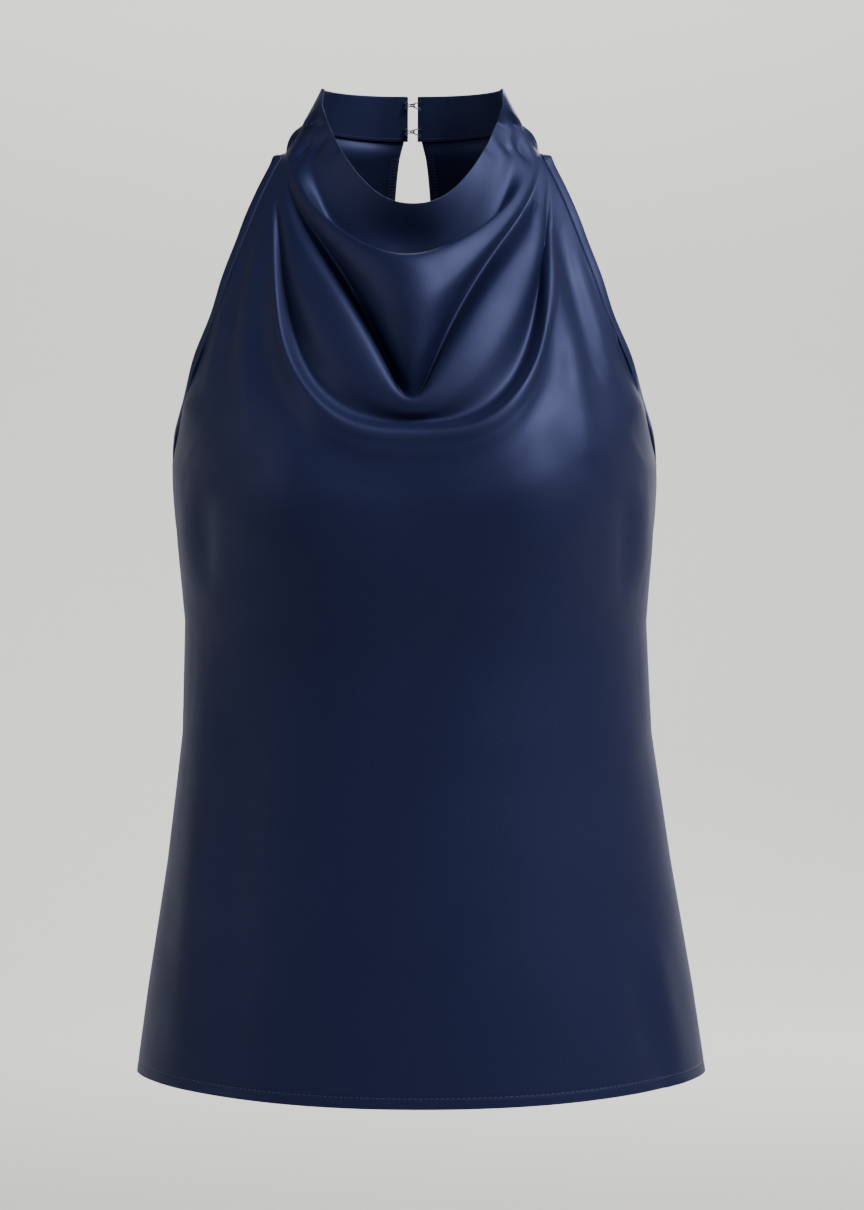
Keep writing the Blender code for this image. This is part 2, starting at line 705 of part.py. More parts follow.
def hook_path():
    """Half of the hook's wire, from its ring to the tip of the bill, at its upper strand."""
    ring = arc((-RING_X, 0.0, HOOK_SPREAD + RING_RADIUS), 30, 270, RING_RADIUS, (0, 2), 8)
    bend = BILL_RISE / 2
    nose = arc((HOOK_NOSE_X - bend, bend, HOOK_SPREAD), -90, 90, bend, (0, 1))
    turn = arc((HOOK_BILL_X, BILL_RISE, 0.0), 90, 180, HOOK_SPREAD, (0, 2), 3)
    return ring + nose + turn


def eye_path():
    """Half of the eye's wire, from its ring to the tip of the arch, at its upper strand."""
    ring = arc((RING_X, 0.0, EYE_SPREAD + RING_RADIUS), 150, -90, RING_RADIUS, (0, 2), 8)
    arch = arc((EYE_TIP_X + EYE_SPREAD, BILL_RISE / 2, 0.0), 90, 180, EYE_SPREAD, (0, 2), 5)
    return ring + arch


def make_wire(name, half, drop, metal):
    """A bent wire from its upper half, set on the inner face of the band's ends."""
    first = BAND_STATIONS[0]
    share = (drop - first.top_drop) / (first.low_drop - first.top_drop)
    face_y = first.top_y + (first.low_y - first.top_y) * share - BAND_CLOTH
    seat_y = face_y - WIRE_CLEARANCE - WIRE / 2
    upper = np.array(half)
    lower = (upper * np.array([1.0, 1.0, -1.0]))[-2::-1]
    local = np.concatenate([upper, lower])
    tilt = (first.top_y - first.low_y) / (first.low_drop - first.top_drop)
    depth = seat_y - local[:, 1] + tilt * local[:, 2]
    points = lean(np.stack([local[:, 0], depth, local[:, 2] - drop], axis=1))
    curve = bpy.data.curves.new(name, "CURVE")
    curve.dimensions = "3D"
    curve.bevel_depth = WIRE / 2 * MM
    curve.bevel_resolution = 1
    curve.use_fill_caps = True
    line = curve.splines.new("POLY")
    line.points.add(len(points) - 1)
    for vertex, point in zip(line.points, points):
        vertex.co = (*(point * MM), 1.0)
    return add_object(name, curve, metal)


def main():
    for item in list(bpy.data.objects):
        bpy.data.objects.remove(item)
    satin = make_material(*SATIN)
    metal = make_material(*METAL)
    front = front_sheet(FRONT_COLUMNS)
    back = back_sheet(BACK_COLUMNS)
    loop = armhole_loop(front, back)
    make_front(front, satin)
    make_back(back, satin)
    for name, hand in HANDS:
        make_band("neck_band_" + name, hand, satin)
        make_binding("armhole_binding_" + name, hand, loop, satin)
    for fastener in FASTENERS:
        make_wire("hook_" + fastener.name, hook_path(), fastener.drop, metal)
        make_wire("eye_" + fastener.name, eye_path(), fastener.drop, metal)


main()
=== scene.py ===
"""High neck halter top in navy satin, with a cowl front, filled out as when worn.

The top is cut from one satin: a front that falls into a cowl, a back with a keyhole, a doubled
neck band, and a strip that binds each armhole. The cloth shells below lie on the model's cloth
walls, with the finer creases, the turned edges and the sewing added. Lengths in the tables are in
millimetres, and a drop is a distance below the origin.
"""

from collections import namedtuple
import math

import bpy
import numpy as np
from bpy.props import FloatProperty, FloatVectorProperty, IntProperty, PointerProperty, StringProperty
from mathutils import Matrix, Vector


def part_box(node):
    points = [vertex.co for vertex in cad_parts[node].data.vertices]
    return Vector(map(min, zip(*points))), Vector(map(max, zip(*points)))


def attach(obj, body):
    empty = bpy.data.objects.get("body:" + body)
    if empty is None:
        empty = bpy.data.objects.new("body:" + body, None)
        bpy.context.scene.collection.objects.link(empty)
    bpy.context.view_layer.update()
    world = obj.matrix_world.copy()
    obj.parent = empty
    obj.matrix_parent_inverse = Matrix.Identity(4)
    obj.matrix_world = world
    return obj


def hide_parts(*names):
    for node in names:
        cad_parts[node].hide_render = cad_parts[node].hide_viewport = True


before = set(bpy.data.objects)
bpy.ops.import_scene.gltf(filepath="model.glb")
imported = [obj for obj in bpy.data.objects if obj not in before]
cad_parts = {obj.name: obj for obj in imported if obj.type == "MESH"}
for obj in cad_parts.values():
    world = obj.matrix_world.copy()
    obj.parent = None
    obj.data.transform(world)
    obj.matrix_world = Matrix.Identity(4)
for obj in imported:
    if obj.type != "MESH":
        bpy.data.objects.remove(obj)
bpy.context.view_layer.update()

bl_info = {
    "name": "High Neck Top",
    "version": (1, 0, 0),
    "blender": (4, 5, 0),
    "location": "View3D > Sidebar > High Neck Top",
    "description": "Builds the satin cloth, sewing and fasteners of a cowl-front halter top",
    "category": "Add Mesh",
}

MM = 0.001

# Steps between two points of a seam's table, points along the side seam and along each row before
# it is evened out, and how near counts as the same place
LINE_STEPS = 8
SIDE_POINTS = 60
ROW_POINTS = 161
BACK_ROW_POINTS = 121
NEAR = 1e-6

# Neck band: its top edge and the seam below it, from the centre back round to the front end
BandStation = namedtuple("BandStation", "top_x top_y top_drop low_x low_y low_drop")
BAND_STATIONS = (
    BandStation(3.2, 41.0, -25.5, 3.2, 46.0, 2.5),
    BandStation(22.0, 38.5, -25.5, 24.0, 43.5, 2.2),
    BandStation(39.0, 30.5, -25.5, 44.0, 34.5, 1.2),
    BandStation(51.0, 17.5, -25.5, 60.5, 18.5, -0.8),
    BandStation(56.6, 2.0, -25.3, 69.6, 0.0, -2.4),
    BandStation(57.2, -8.5, -24.5, 64.5, -10.5, -7.2),
    BandStation(56.6, -15.5, -23.4, 57.0, -17.5, -13.0),
)
NECK_POINT_STATION = 4

# Shoulder seam, from the neck point to the top of the armhole
EdgePoint = namedtuple("EdgePoint", "x front_y back_y drop")
SHOULDER = (
    EdgePoint(69.6, 0.0, 0.0, -2.4),
    EdgePoint(75.4, 0.0, 0.0, 2.4),
    EdgePoint(78.6, 0.0, 0.0, 8.2),
    EdgePoint(80.0, 0.0, 0.0, 15.0),
)

# Armhole seam, from the shoulder seam to the top of the side seam
ARMHOLE = (
    EdgePoint(80.0, 0.0, 0.0, 15.0),
    EdgePoint(81.3, -6.5, 6.5, 17.6),
    EdgePoint(85.6, -12.0, 12.5, 26.0),
    EdgePoint(91.5, -18.0, 19.0, 38.5),
    EdgePoint(103.8, -32.0, 35.0, 70.5),
    EdgePoint(114.8, -42.0, 49.0, 101.0),
    EdgePoint(125.4, -47.0, 56.0, 131.0),
    EdgePoint(137.6, -44.0, 54.0, 160.0),
    EdgePoint(146.6, -29.0, 37.0, 188.0),
    EdgePoint(150.6, -14.0, 19.0, 204.0),
    EdgePoint(152.4, 0.0, 0.0, 212.0),
)

# The filled-out body: half width at the side seam, centre front and centre back at each drop.
# The sections run from a shallow arch at the chest to a rounded oval below the armholes.
Section = namedtuple("Section", "drop half_width front back oval")
SECTIONS = (
    Section(-26.0, 57.0, -30.0, 41.0, 0.0),
    Section(0.0, 71.0, -38.0, 46.5, 0.0),
    Section(25.0, 86.0, -46.0, 54.0, 0.0),
    Section(53.0, 97.0, -56.0, 64.0, 0.0),
    Section(88.0, 110.0, -74.0, 77.0, 0.05),
    Section(116.0, 120.0, -89.0, 86.0, 0.15),
    Section(150.0, 134.0, -105.0, 94.0, 0.4),
    Section(185.0, 146.0, -119.0, 98.0, 0.75),
    Section(212.0, 152.4, -126.0, 98.5, 1.0),
    Section(240.0, 151.8, -130.0, 97.0, 1.0),
    Section(280.0, 147.2, -127.0, 92.0, 1.0),
    Section(325.0, 144.8, -120.0, 87.0, 1.0),
    Section(385.0, 148.0, -118.0, 90.0, 1.0),
    Section(445.0, 156.0, -120.0, 101.0, 1.0),
    Section(506.0, 165.7, -124.0, 111.0, 1.0),
    Section(566.0, 175.4, -127.0, 119.0, 1.0),
    Section(592.0, 178.8, -128.0, 122.0, 1.0),
)
ARCH_POWER = 2.2
OVAL_POWER = 2.35

# Bust: how far it stands forward of the sections, where its high points are, how far it reaches
BUST_RISE = 11.0
BUST_X = 84.0
BUST_DROP = 232.0
BUST_WIDTH = 46.0
BUST_HEIGHT = 58.0

# Places along a panel's edge: each seam starts at a whole number
SHOULDER_SEAM, ARMHOLE_SEAM, SIDE_SEAM = 1.0, 2.0, 3.0

# Folds of the front, from the neckline down: where each meets the edge, its lowest point, how far
# it stands forward there and half way up each side, and the shape of its curve
Fold = namedtuple("Fold", "name place low_x drop lift left right rise round steep tight steps")
FOLDS = (
    Fold("neckline", 0.0, 1.0, 53.0, 0.0, 0.0, 0.0, 2.0, 0.05, 0.10, 8.0, 3),
    Fold("throat_fall", 0.5, 1.0, 80.0, -23.0, -8.0, -3.0, 2.1, 0.05, 0.15, 8.0, 2),
    Fold("upper_pocket", 1.0, 0.0, 106.0, -28.0, -12.0, -6.0, 2.1, 0.05, 0.25, 8.0, 2),
    Fold("upper_lip", 2.0, -3.0, 88.0, 24.0, 9.0, 10.0, 1.55, 0.02, 0.30, 7.0, 2),
    Fold("bib_top", 2.013, 1.0, 112.0, 23.0, 9.0, 11.0, 1.0, 0.36, 0.25, 9.0, 3),
    Fold("bib_low", 2.025, 0.0, 150.0, 8.0, 3.0, 4.0, 0.7, 0.26, 0.20, 12.0, 2),
    Fold("middle_pocket", 2.038, -1.0, 186.0, -13.0, -5.0, -4.0, 0.6, 0.18, 0.15, 14.0, 2),
    Fold("middle_lip", 2.052, -1.0, 183.0, 3.0, 6.0, 9.0, 0.72, 0.16, 0.25, 14.0, 2),
    Fold("cheek", 2.066, -1.0, 187.0, 1.0, 5.0, 7.0, 1.4, 0.08, 0.40, 12.0, 2),
    Fold("lower_valley", 2.082, 0.0, 190.0, -3.0, -5.0, -5.0, 2.5, 0.08, 0.55, 10.0, 2),
    Fold("lower_arc", 2.10, 1.0, 196.0, 6.0, 7.0, 8.0, 3.0, 0.08, 0.55, 26.0, 2),
    Fold("under_arc", 2.17, 1.0, 206.0, 5.0, 4.0, 4.0, 3.0, 0.08, 0.50, 16.0, 2),
    Fold("chest_rise", 2.30, 1.0, 216.0, 3.0, 1.0, 1.0, 2.7, 0.05, 0.40, 8.0, 2),
    Fold("bust_top", 2.52, 1.0, 229.0, 1.0, 0.0, 0.0, 2.4, 0.05, 0.15, 6.0, 2),
    Fold("bust", 2.77, 1.0, 243.0, 0.0, 0.0, 0.0, 2.2, 0.05, 0.0, 6.0, 2),
    Fold("under_bust", 3.0, 1.0, 268.0, 0.0, 0.0, 0.0, 2.0, 0.05, 0.0, 6.0, 2),
)

# Level rows below the folds: the drop at the side seam and how much lower the centre front hangs
LevelRow = namedtuple("LevelRow", "side_drop sag steps")
LEVEL_ROWS = (
    LevelRow(262.0, 30.0, 2),
    LevelRow(310.0, 20.0, 3),
    LevelRow(380.0, 14.0, 3),
    LevelRow(460.0, 11.0, 3),
    LevelRow(540.0, 10.0, 2),
    LevelRow(592.0, 10.0, 0),
)

# Share of the way to the edge from where the cloth runs straight from one fold to the next
PLAIN_START = 0.8

# Rows of the back: their drop at the centre, and where each meets the edge
BackRow = namedtuple("BackRow", "drop place")
BACK_ROWS = (
    BackRow(13.0, 1.35),
    BackRow(25.0, 1.70),
    BackRow(38.0, 2.0),
    BackRow(54.0, 2.022),
    BackRow(68.0, 2.048),
    BackRow(76.0, 2.078),
    BackRow(81.5, 2.108),
    BackRow(85.5, 2.14),
    BackRow(88.5, 2.175),
    BackRow(100.0, 2.23),
    BackRow(122.0, 2.34),
    BackRow(148.0, 2.48),
    BackRow(175.0, 2.62),
    BackRow(200.0, 2.76),
    BackRow(221.0, 2.89),
    BackRow(238.0, 3.0),
)
BACK_LEVELS = (258.0, 288.0, 325.0, 370.0, 415.0, 460.0, 505.0, 550.0, 592.0)

# Power of the curve that takes a back row from the centre down to the edge
BACK_ROW_CURVE = 2.2

# Keyhole: half width at the neck seam and at its round end, the drop of that round's centre, and
# how early it widens. Half widths under the last one count as closed.
KEYHOLE_TOP = 5.6
KEYHOLE_HALF = 12.5
KEYHOLE_ROUND = 76.0
KEYHOLE_FLARE = 0.6
KEYHOLE_SHUT = 0.05

# The sides of the top aren't quite alike: its middle line at each drop
LeanPoint = namedtuple("LeanPoint", "drop x")
LEAN = (
    LeanPoint(-30.0, -2.2),
    LeanPoint(113.0, -2.2),
    LeanPoint(190.0, -1.2),
    LeanPoint(325.0, 0.0),
    LeanPoint(475.0, 2.2),
    LeanPoint(610.0, 3.4),
)

# Slope of the cloth at the neck seam, and the reach over which directions round the armhole are
# evened out
NECK_SLOPE = 0.35
EVEN_REACH = 7.0

# Columns of the model's walls across half of the front, which the armhole's line is taken from
WALL_COLUMNS = 17

# Sewn edges: the gap between the model's walls, how far cloth laps over the seam so that no light
# shows through it, and how deep the edges of the panels and the band sink into it
SEAM_GAP = 0.36
SEAM_LAP = 0.05
BAND_LAP = 0.4
SEAM_SINK = 0.25
BAND_SINK = 0.2

# Rounding of the front's middle: how often it is done, and its reach as a share of the half width
EASE_PASSES = 12
EASE_REACH = 0.3

# Neck band: points along and across, thickness, rounding of its edges, and how far it lies in
# from its solid, with a soft wave along it
BAND_COLUMNS = 73
BAND_ROWS = 18
BAND_THICKNESS = 1.5
BAND_ROUND = 0.45
BAND_INSET = 0.15
BAND_WAVE = 0.15
BAND_WAVES = 9.0

# Armhole binding: its width, and the step between points along it
BINDING_WIDTH = 6.6
BINDING_STEP = 2.0

# Stitches: how long each is as a share of its pitch, how thick the threads are, the groove that
# the hem's stitches press into the cloth, and how far threads lie in from a face or stand off it
HEM_SHARE = 0.78
FINE_SHARE = 0.75
HEM_THREAD = 0.42
BINDING_THREAD = 0.32
NECK_THREAD = 0.3
KEYHOLE_THREAD = 0.34
KEYHOLE_PITCH = 2.1
GROOVE_DEPTH = 0.3
GROOVE_WIDTH = 0.7
THREAD_SINK = 0.28
THREAD_STANDS_OFF = 0.1

# Form of a stitch as shares of its thread's width: its height, and how far its ends dip and its
# middle stands up
STITCH_HEIGHT = 0.7
STITCH_DIP = 0.35
STITCH_RISE = 0.15

# Stitching of a keyhole edge: how far from the edge it runs, its stitch and how far that turns
EdgeStitch = namedtuple("EdgeStitch", "reach length turn")
KEYHOLE_STITCHES = (
    EdgeStitch(1.0, 1.6, 0.0),
    EdgeStitch(4.8, 1.6, 0.0),
    EdgeStitch(2.9, 3.4, math.pi / 2.3),
)

# Thread that holds a ring of a hook or eye: turns, their size, and how far the ring is from the end
THREAD_TURNS = 3
THREAD_RING = 0.85
THREAD_RADIUS = 0.2
RING_INSET = 1.25

# Vertices of halves this near in metres become one
WELD = 0.00002

# Finer rows at the cut edges, as distances from the edge: the turned hem with its line of
# stitching, and the fold at the neckline
HEM_ROWS = (0.0, 0.5, 1.2, 3.0, 4.8, 5.6, 6.2, 6.6, 7.0, 7.6, 8.6, 10.5)
NECKLINE_ROWS = (0.0, 0.5, 1.2, 2.4)
HEM_STITCH_HEIGHT = 6.6

# Creases of the front and back, as soft ridges (a height above 0) or troughs, along points that
# are seen from the front as x and drop. width is how far each spreads.
Crease = namedtuple("Crease", "height width points")
FRONT_CREASES = (
    Crease(2.4, 7.0, ((-91, 50), (-98, 100), (-103, 165), (-100, 205))),
    Crease(-1.8, 6.0, ((-101, 62), (-110, 110), (-116, 160))),
    Crease(1.8, 6.0, ((-112, 90), (-121, 135), (-127, 180))),
    Crease(3.0, 8.0, ((76, 50), (88, 110), (99, 165), (108, 215))),
    Crease(-2.2, 6.5, ((90, 62), (102, 110), (114, 165))),
    Crease(1.8, 6.0, ((100, 72), (112, 120), (124, 170))),
    Crease(1.8, 7.0, ((-139, 225), (-140, 255), (-137, 290))),
    Crease(-1.4, 6.0, ((-127, 230), (-128, 262), (-126, 290))),
    Crease(1.8, 7.0, ((140, 225), (141, 258), (139, 290))),
    Crease(-1.4, 6.0, ((128, 235), (129, 265), (127, 295))),
    Crease(3.4, 12.0, ((-132, 320), (-136, 440), (-146, 560), (-150, 602))),
    Crease(-2.6, 13.0, ((-108, 350), (-110, 470), (-116, 602))),
    Crease(-2.6, 10.0, ((126, 470), (138, 545), (152, 604))),
    Crease(3.0, 9.0, ((140, 500), (150, 550), (162, 602))),
    Crease(2.2, 24.0, ((76, 290), (30, 380), (-30, 520))),
    Crease(-1.8, 20.0, ((30, 300), (-20, 380), (-70, 480))),
)
BACK_CREASES = (
    Crease(1.6, 9.0, ((-40, 60), (-66, 130), (-80, 220))),
    Crease(1.4, 9.0, ((42, 60), (64, 125), (84, 230))),
    Crease(-1.2, 8.0, ((-20, 100), (-34, 160), (-40, 240))),
    Crease(-1.1, 8.0, ((22, 105), (30, 170), (44, 250))),
    Crease(1.6, 14.0, ((-70, 330), (-84, 450), (-96, 585))),
    Crease(1.8, 13.0, ((66, 350), (86, 470), (90, 588))),
    Crease(-1.6, 14.0, ((-20, 340), (-10, 460), (-16, 588))),
    Crease(-1.3, 12.0, ((118, 360), (128, 470), (134, 590))),
    Crease(-1.3, 12.0, ((-122, 340), (-126, 450), (-140, 590))),
)

# Steps between two points of a crease and how its ends run out. Creases fade within so many
# columns and rows of a panel's edges, but not over the front's last rows, down to its hem.
CREASE_STEPS = 10
CREASE_ENDS = 0.6
FADE_COLUMNS = 8
FADE_ROWS = 6
FADE_BACK_COLUMNS = 6
FADE_BACK_ROWS = 12
HEM_FREE_ROWS = 14

# Stage: the round paper cove, and the camera that looks level at the middle of the top. The
# photograph is 1210 pixels high, 0.63 mm each, and the top stands 16 pixels left of its middle.
COVE_RADIUS = 4.6
COVE_HEIGHT = 5.0
COVE_MIDDLE = 1.6
COVE_ROUND = 1.2
CAMERA_DISTANCE = 2.5
CAMERA_DROP = 300.0
SENSOR_HEIGHT = 36.0
PICTURE_HEIGHT = 1210
PICTURE_PIXEL = 0.63
PICTURE_ASIDE = 16
MIDDLE = (0.0, 0.0, -0.28)
Light = namedtuple("Light", "name place size power target")

HANDS = (("left", 1), ("right", -1))
MIRROR = np.array([-1.0, 1.0, 1.0])


def column(table, name):
    """One named column of a table."""
    return np.array([getattr(row, name) for row in table], float)


def spline(knots, values, at):
    """A smooth curve through the values at the knots, with slopes taken from the neighbours."""
    knots = np.asarray(knots, float)
    values = np.asarray(values, float)
    at = np.clip(np.asarray(at, float), knots[0], knots[-1])
    spans = np.diff(knots)
    shape = (-1,) + (1,) * (values.ndim - 1)
    rates = np.diff(values, axis=0) / spans.reshape(shape)
    slopes = np.empty_like(values)
    before = spans[:-1].reshape(shape)
    after = spans[1:].reshape(shape)
    slopes[1:-1] = (rates[:-1] * after + rates[1:] * before) / (before + after)
    slopes[0] = rates[0]
    slopes[-1] = rates[-1]
    i = np.clip(np.searchsorted(knots, at) - 1, 0, len(spans) - 1)
    wide = at.shape + (1,) * (values.ndim - 1)
    span = spans[i].reshape(wide)
    t = ((at - knots[i]) / spans[i]).reshape(wide)
    s = 1.0 - t
    return (
        (1 + 2 * t) * s * s * values[i]
        + t * s * s * span * slopes[i]
        + t * t * (3 - 2 * t) * values[i + 1]
        - t * t * s * span * slopes[i + 1]
    )


def unit(vectors):
    """Vectors scaled to length one."""
    lengths = np.linalg.norm(vectors, axis=-1, keepdims=True)
    return vectors / np.maximum(lengths, 1e-9)


def lengths_along(points):
    """Distance of each point from the first, along the line through them."""
    steps = np.linalg.norm(np.diff(points, axis=0), axis=1)
    return np.concatenate(([0.0], np.cumsum(steps)))


def at_distances(points, wanted, values=None):
    """Points, or other values, at distances along a line."""
    along = lengths_along(points)
    values = points if values is None else values
    return np.stack([np.interp(wanted, along, values[:, axis]) for axis in range(3)], axis=1)


def even(points, count):
    """The line through the points, as count points at even distances along it."""
    return at_distances(points, np.linspace(0.0, lengths_along(points)[-1], count))


def drawn(points, steps=LINE_STEPS):
    """A smooth dense line through a few points, with the same number of steps between each."""
    along = lengths_along(points)
    index = np.linspace(0.0, len(points) - 1, steps * (len(points) - 1) + 1)
    return spline(along, points, np.interp(index, np.arange(len(points)), along))


def neck_line():
    """The seam below the band at +X, from the centre back to its front end."""
    return drawn(np.array([(s.low_x, s.low_y, -s.low_drop) for s in BAND_STATIONS], float))


def edge_runs(side):
    """The seams along the outer edge of the front or back, as a smooth line for each."""
    y_name = side + "_y"
    runs = [neck_line()[NECK_POINT_STATION * LINE_STEPS:][::-1]]
    for table in (SHOULDER, ARMHOLE):
        points = [(p.x, getattr(p, y_name), -p.drop) for p in table]
        runs.append(drawn(np.array(points, float)))
    drops = np.linspace(ARMHOLE[-1].drop, SECTIONS[-1].drop, SIDE_POINTS)
    widths = spline(column(SECTIONS, "drop"), column(SECTIONS, "half_width"), drops)
    runs.append(np.stack([widths, np.zeros_like(drops), -drops], axis=1))
    return runs


def edge_points(side, places):
    """Points of the outer edge at the places along it."""
    runs = edge_runs(side)
    points = []
    for place in places:
        seam = min(int(place + NEAR), len(runs) - 1)
        line = runs[seam]
        along = lengths_along(line)
        at = (place - seam) * along[-1]
        points.append([np.interp(at, along, line[:, axis]) for axis in range(3)])
    return np.array(points)


def place_of_drop(side, drop):
    """The place on the side seam at a drop."""
    line = edge_runs(side)[int(SIDE_SEAM)]
    along = lengths_along(line)
    return SIDE_SEAM + np.interp(drop, -line[:, 2], along) / along[-1]


def edge_at_drop(side, drops):
    """Half width and depth of the outer edge at each drop."""
    runs = edge_runs(side)
    line = np.concatenate(runs if side == "front" else runs[int(SHOULDER_SEAM):])
    line = line[np.argsort(-line[:, 2], kind="stable")]
    return np.interp(drops, -line[:, 2], line[:, 0]), np.interp(drops, -line[:, 2], line[:, 1])


def body_depth(side, x, drops):
    """Depth of the filled-out body at each distance from the middle and each drop."""
    known = column(SECTIONS, "drop")
    middle = spline(known, column(SECTIONS, side), drops)
    oval = np.clip(spline(known, column(SECTIONS, "oval"), drops), 0.0, 1.0)
    edge_x, edge_y = edge_at_drop(side, drops)
    t = np.clip(np.abs(x) / edge_x, 0.0, 1.0)
    power = ARCH_POWER + (OVAL_POWER - ARCH_POWER) * oval
    arch = 1.0 - t ** power
    rounded = np.clip(1.0 - t ** power, 0.0, 1.0) ** 0.5
    share = arch + (rounded - arch) * oval
    depth = edge_y + (middle - edge_y) * share
    if side == "front":
        across = (np.abs(x) - BUST_X) / BUST_WIDTH
        down = (drops - BUST_DROP) / BUST_HEIGHT
        depth = depth - BUST_RISE * np.exp(-across ** 2 - down ** 2) * (1.0 - t ** 6)
    return depth


def climb(t, fold):
    """Share of a fold's height that is gained at each share of the way to its end."""
    soft = fold.round
    start = (np.sqrt(t * t + soft * soft) - soft) / (math.sqrt(1 + soft * soft) - soft)
    return (1.0 - fold.steep) * start ** fold.rise + fold.steep * t ** fold.tight


def half_fold(fold, hand, columns):
    """One half of a fold, from its lowest point to the edge; hand is -1 left and 1 right."""
    end = edge_points("front", [fold.place])[0]
    t = np.sin(np.linspace(0.0, math.pi / 2, ROW_POINTS))
    low_x = hand * fold.low_x
    x = low_x + (end[0] - low_x) * t
    z = -fold.drop + (end[2] + fold.drop) * climb(t, fold)
    flat = np.stack([x, np.zeros_like(x), z], axis=1)
    share = lengths_along(flat) / lengths_along(flat)[-1]
    side_lift = fold.left if hand < 0 else fold.right
    lift = spline([0.0, 0.5, 1.0], [fold.lift, side_lift, 0.0], share) * (1 - share ** 4)
    y = body_depth("front", x, -z) - lift
    y[-1] = end[1]
    line = even(np.stack([x, y, z], axis=1), columns + 1)
    line[:, 0] *= hand
    return line


def level_half(side, side_drop, sag, hand, columns):
    """Half of a level row below the armholes, from the middle to the side seam."""
    theta = np.linspace(0.0, math.pi / 2, ROW_POINTS)
    half = spline(column(SECTIONS, "drop"), column(SECTIONS, "half_width"), side_drop)
    x = half * np.sin(theta)
    drops = side_drop + sag * np.cos(theta) ** 2
    edge_x = edge_at_drop(side, drops)[0]
    x = np.minimum(x * edge_x / half, edge_x)
    y = body_depth(side, x, drops)
    y[-1] = 0.0
    line = even(np.stack([x, y, -drops], axis=1), columns + 1)
    line[:, 0] *= hand
    return line


def front_key_rows(columns):
    """The folds and level rows of the front from left to right, their places and steps."""
    rows = []
    places = []
    steps = []
    for fold in FOLDS:
        halves = [half_fold(fold, hand, columns) for hand in (-1, 1)]
        rows.append(np.concatenate([halves[0][:0:-1], halves[1]]))
        places.append(fold.place)
        steps.append(fold.steps)
    for row in LEVEL_ROWS:
        halves = [level_half("front", row.side_drop, row.sag, hand, columns) for hand in (-1, 1)]
        rows.append(np.concatenate([halves[0][:0:-1], halves[1]]))
        places.append(place_of_drop("front", row.side_drop))
        steps.append(row.steps)
    return np.array(rows), places, steps


def front_surface(columns, finer):
    """Outer face of the front as rows of points, the rows' places and distances down."""
    keys, places, steps = front_key_rows(columns)
    middle = keys.shape[1] // 2
    quarter = middle // 2
    paths = [lengths_along(keys[:, c]) for c in (middle - quarter, middle, middle + quarter)]
    knots = np.mean(paths, axis=0)
    wanted = [knots[0]]
    for i, count in enumerate(steps[:-1]):
        wanted.extend(np.linspace(knots[i], knots[i + 1], count * finer + 1)[1:])
    wanted = np.array(wanted)
    between = (wanted > NECKLINE_ROWS[-1] + 1) & (wanted < knots[-1] - HEM_ROWS[-1] - 1)
    edge_rows = np.concatenate([NECKLINE_ROWS, knots[-1] - np.array(HEM_ROWS)])
    wanted = np.sort(np.concatenate([wanted[between], edge_rows]))
    straight = np.interp(wanted, knots, np.arange(len(knots)))
    above = np.minimum(straight.astype(int), len(knots) - 2)
    share = (straight - above)[:, None, None]
    straight = keys[above] * (1 - share) + keys[above + 1] * share
    off_middle = np.abs(np.linspace(-1.0, 1.0, keys.shape[1]))[:, None]
    plain = np.clip((off_middle - PLAIN_START) / (1 - PLAIN_START), 0.0, 1.0) ** 0.5
    surface = spline(knots, keys, wanted) * (1 - plain) + straight * plain
    row_places = np.interp(wanted, knots, places)
    edge = edge_points("front", row_places)
    surface[:, -1] = edge
    surface[:, 0] = edge * MIRROR
    return surface, row_places, wanted


def keyhole_half_width(drops):
    """Half width of the keyhole at each drop, zero below its round end."""
    top = BAND_STATIONS[0].low_drop
    flare = np.clip((drops - top) / (KEYHOLE_ROUND - top), 0.0, 1.0)
    side = KEYHOLE_TOP + (KEYHOLE_HALF - KEYHOLE_TOP) * np.sin(flare * math.pi / 2) ** KEYHOLE_FLARE
    round_end = np.sqrt(np.clip(KEYHOLE_HALF ** 2 - (drops - KEYHOLE_ROUND) ** 2, 0.0, None))
    return np.where(drops < KEYHOLE_ROUND, side, round_end)


def back_half_row(drop, place, columns):
    """Half of a back row, from the keyhole or the middle to the edge."""
    end = edge_points("back", [place])[0]
    start_x = float(keyhole_half_width(np.array(drop)))
    t = np.sin(np.linspace(0.0, math.pi / 2, BACK_ROW_POINTS))
    x = start_x + (end[0] - start_x) * t
    drops = drop + (-end[2] - drop) * t ** BACK_ROW_CURVE
    y = body_depth("back", x, drops)
    y[-1] = end[1]
    return even(np.stack([x, y, -drops], axis=1), columns + 1)


def back_top_row(columns):
    """The back's neck seam, from the keyhole to the neck point."""
    line = neck_line()[:NECK_POINT_STATION * LINE_STEPS + 1]
    along = lengths_along(line)
    start = np.interp(KEYHOLE_TOP, line[:, 0], along)
    return at_distances(line, np.linspace(start, along[-1], columns + 1))


def finer_steps(values, finer):
    """Each step of a list of values, cut into finer ones."""
    at = np.arange(finer * (len(values) - 1) + 1) / finer
    return np.interp(at, np.arange(len(values)), values)


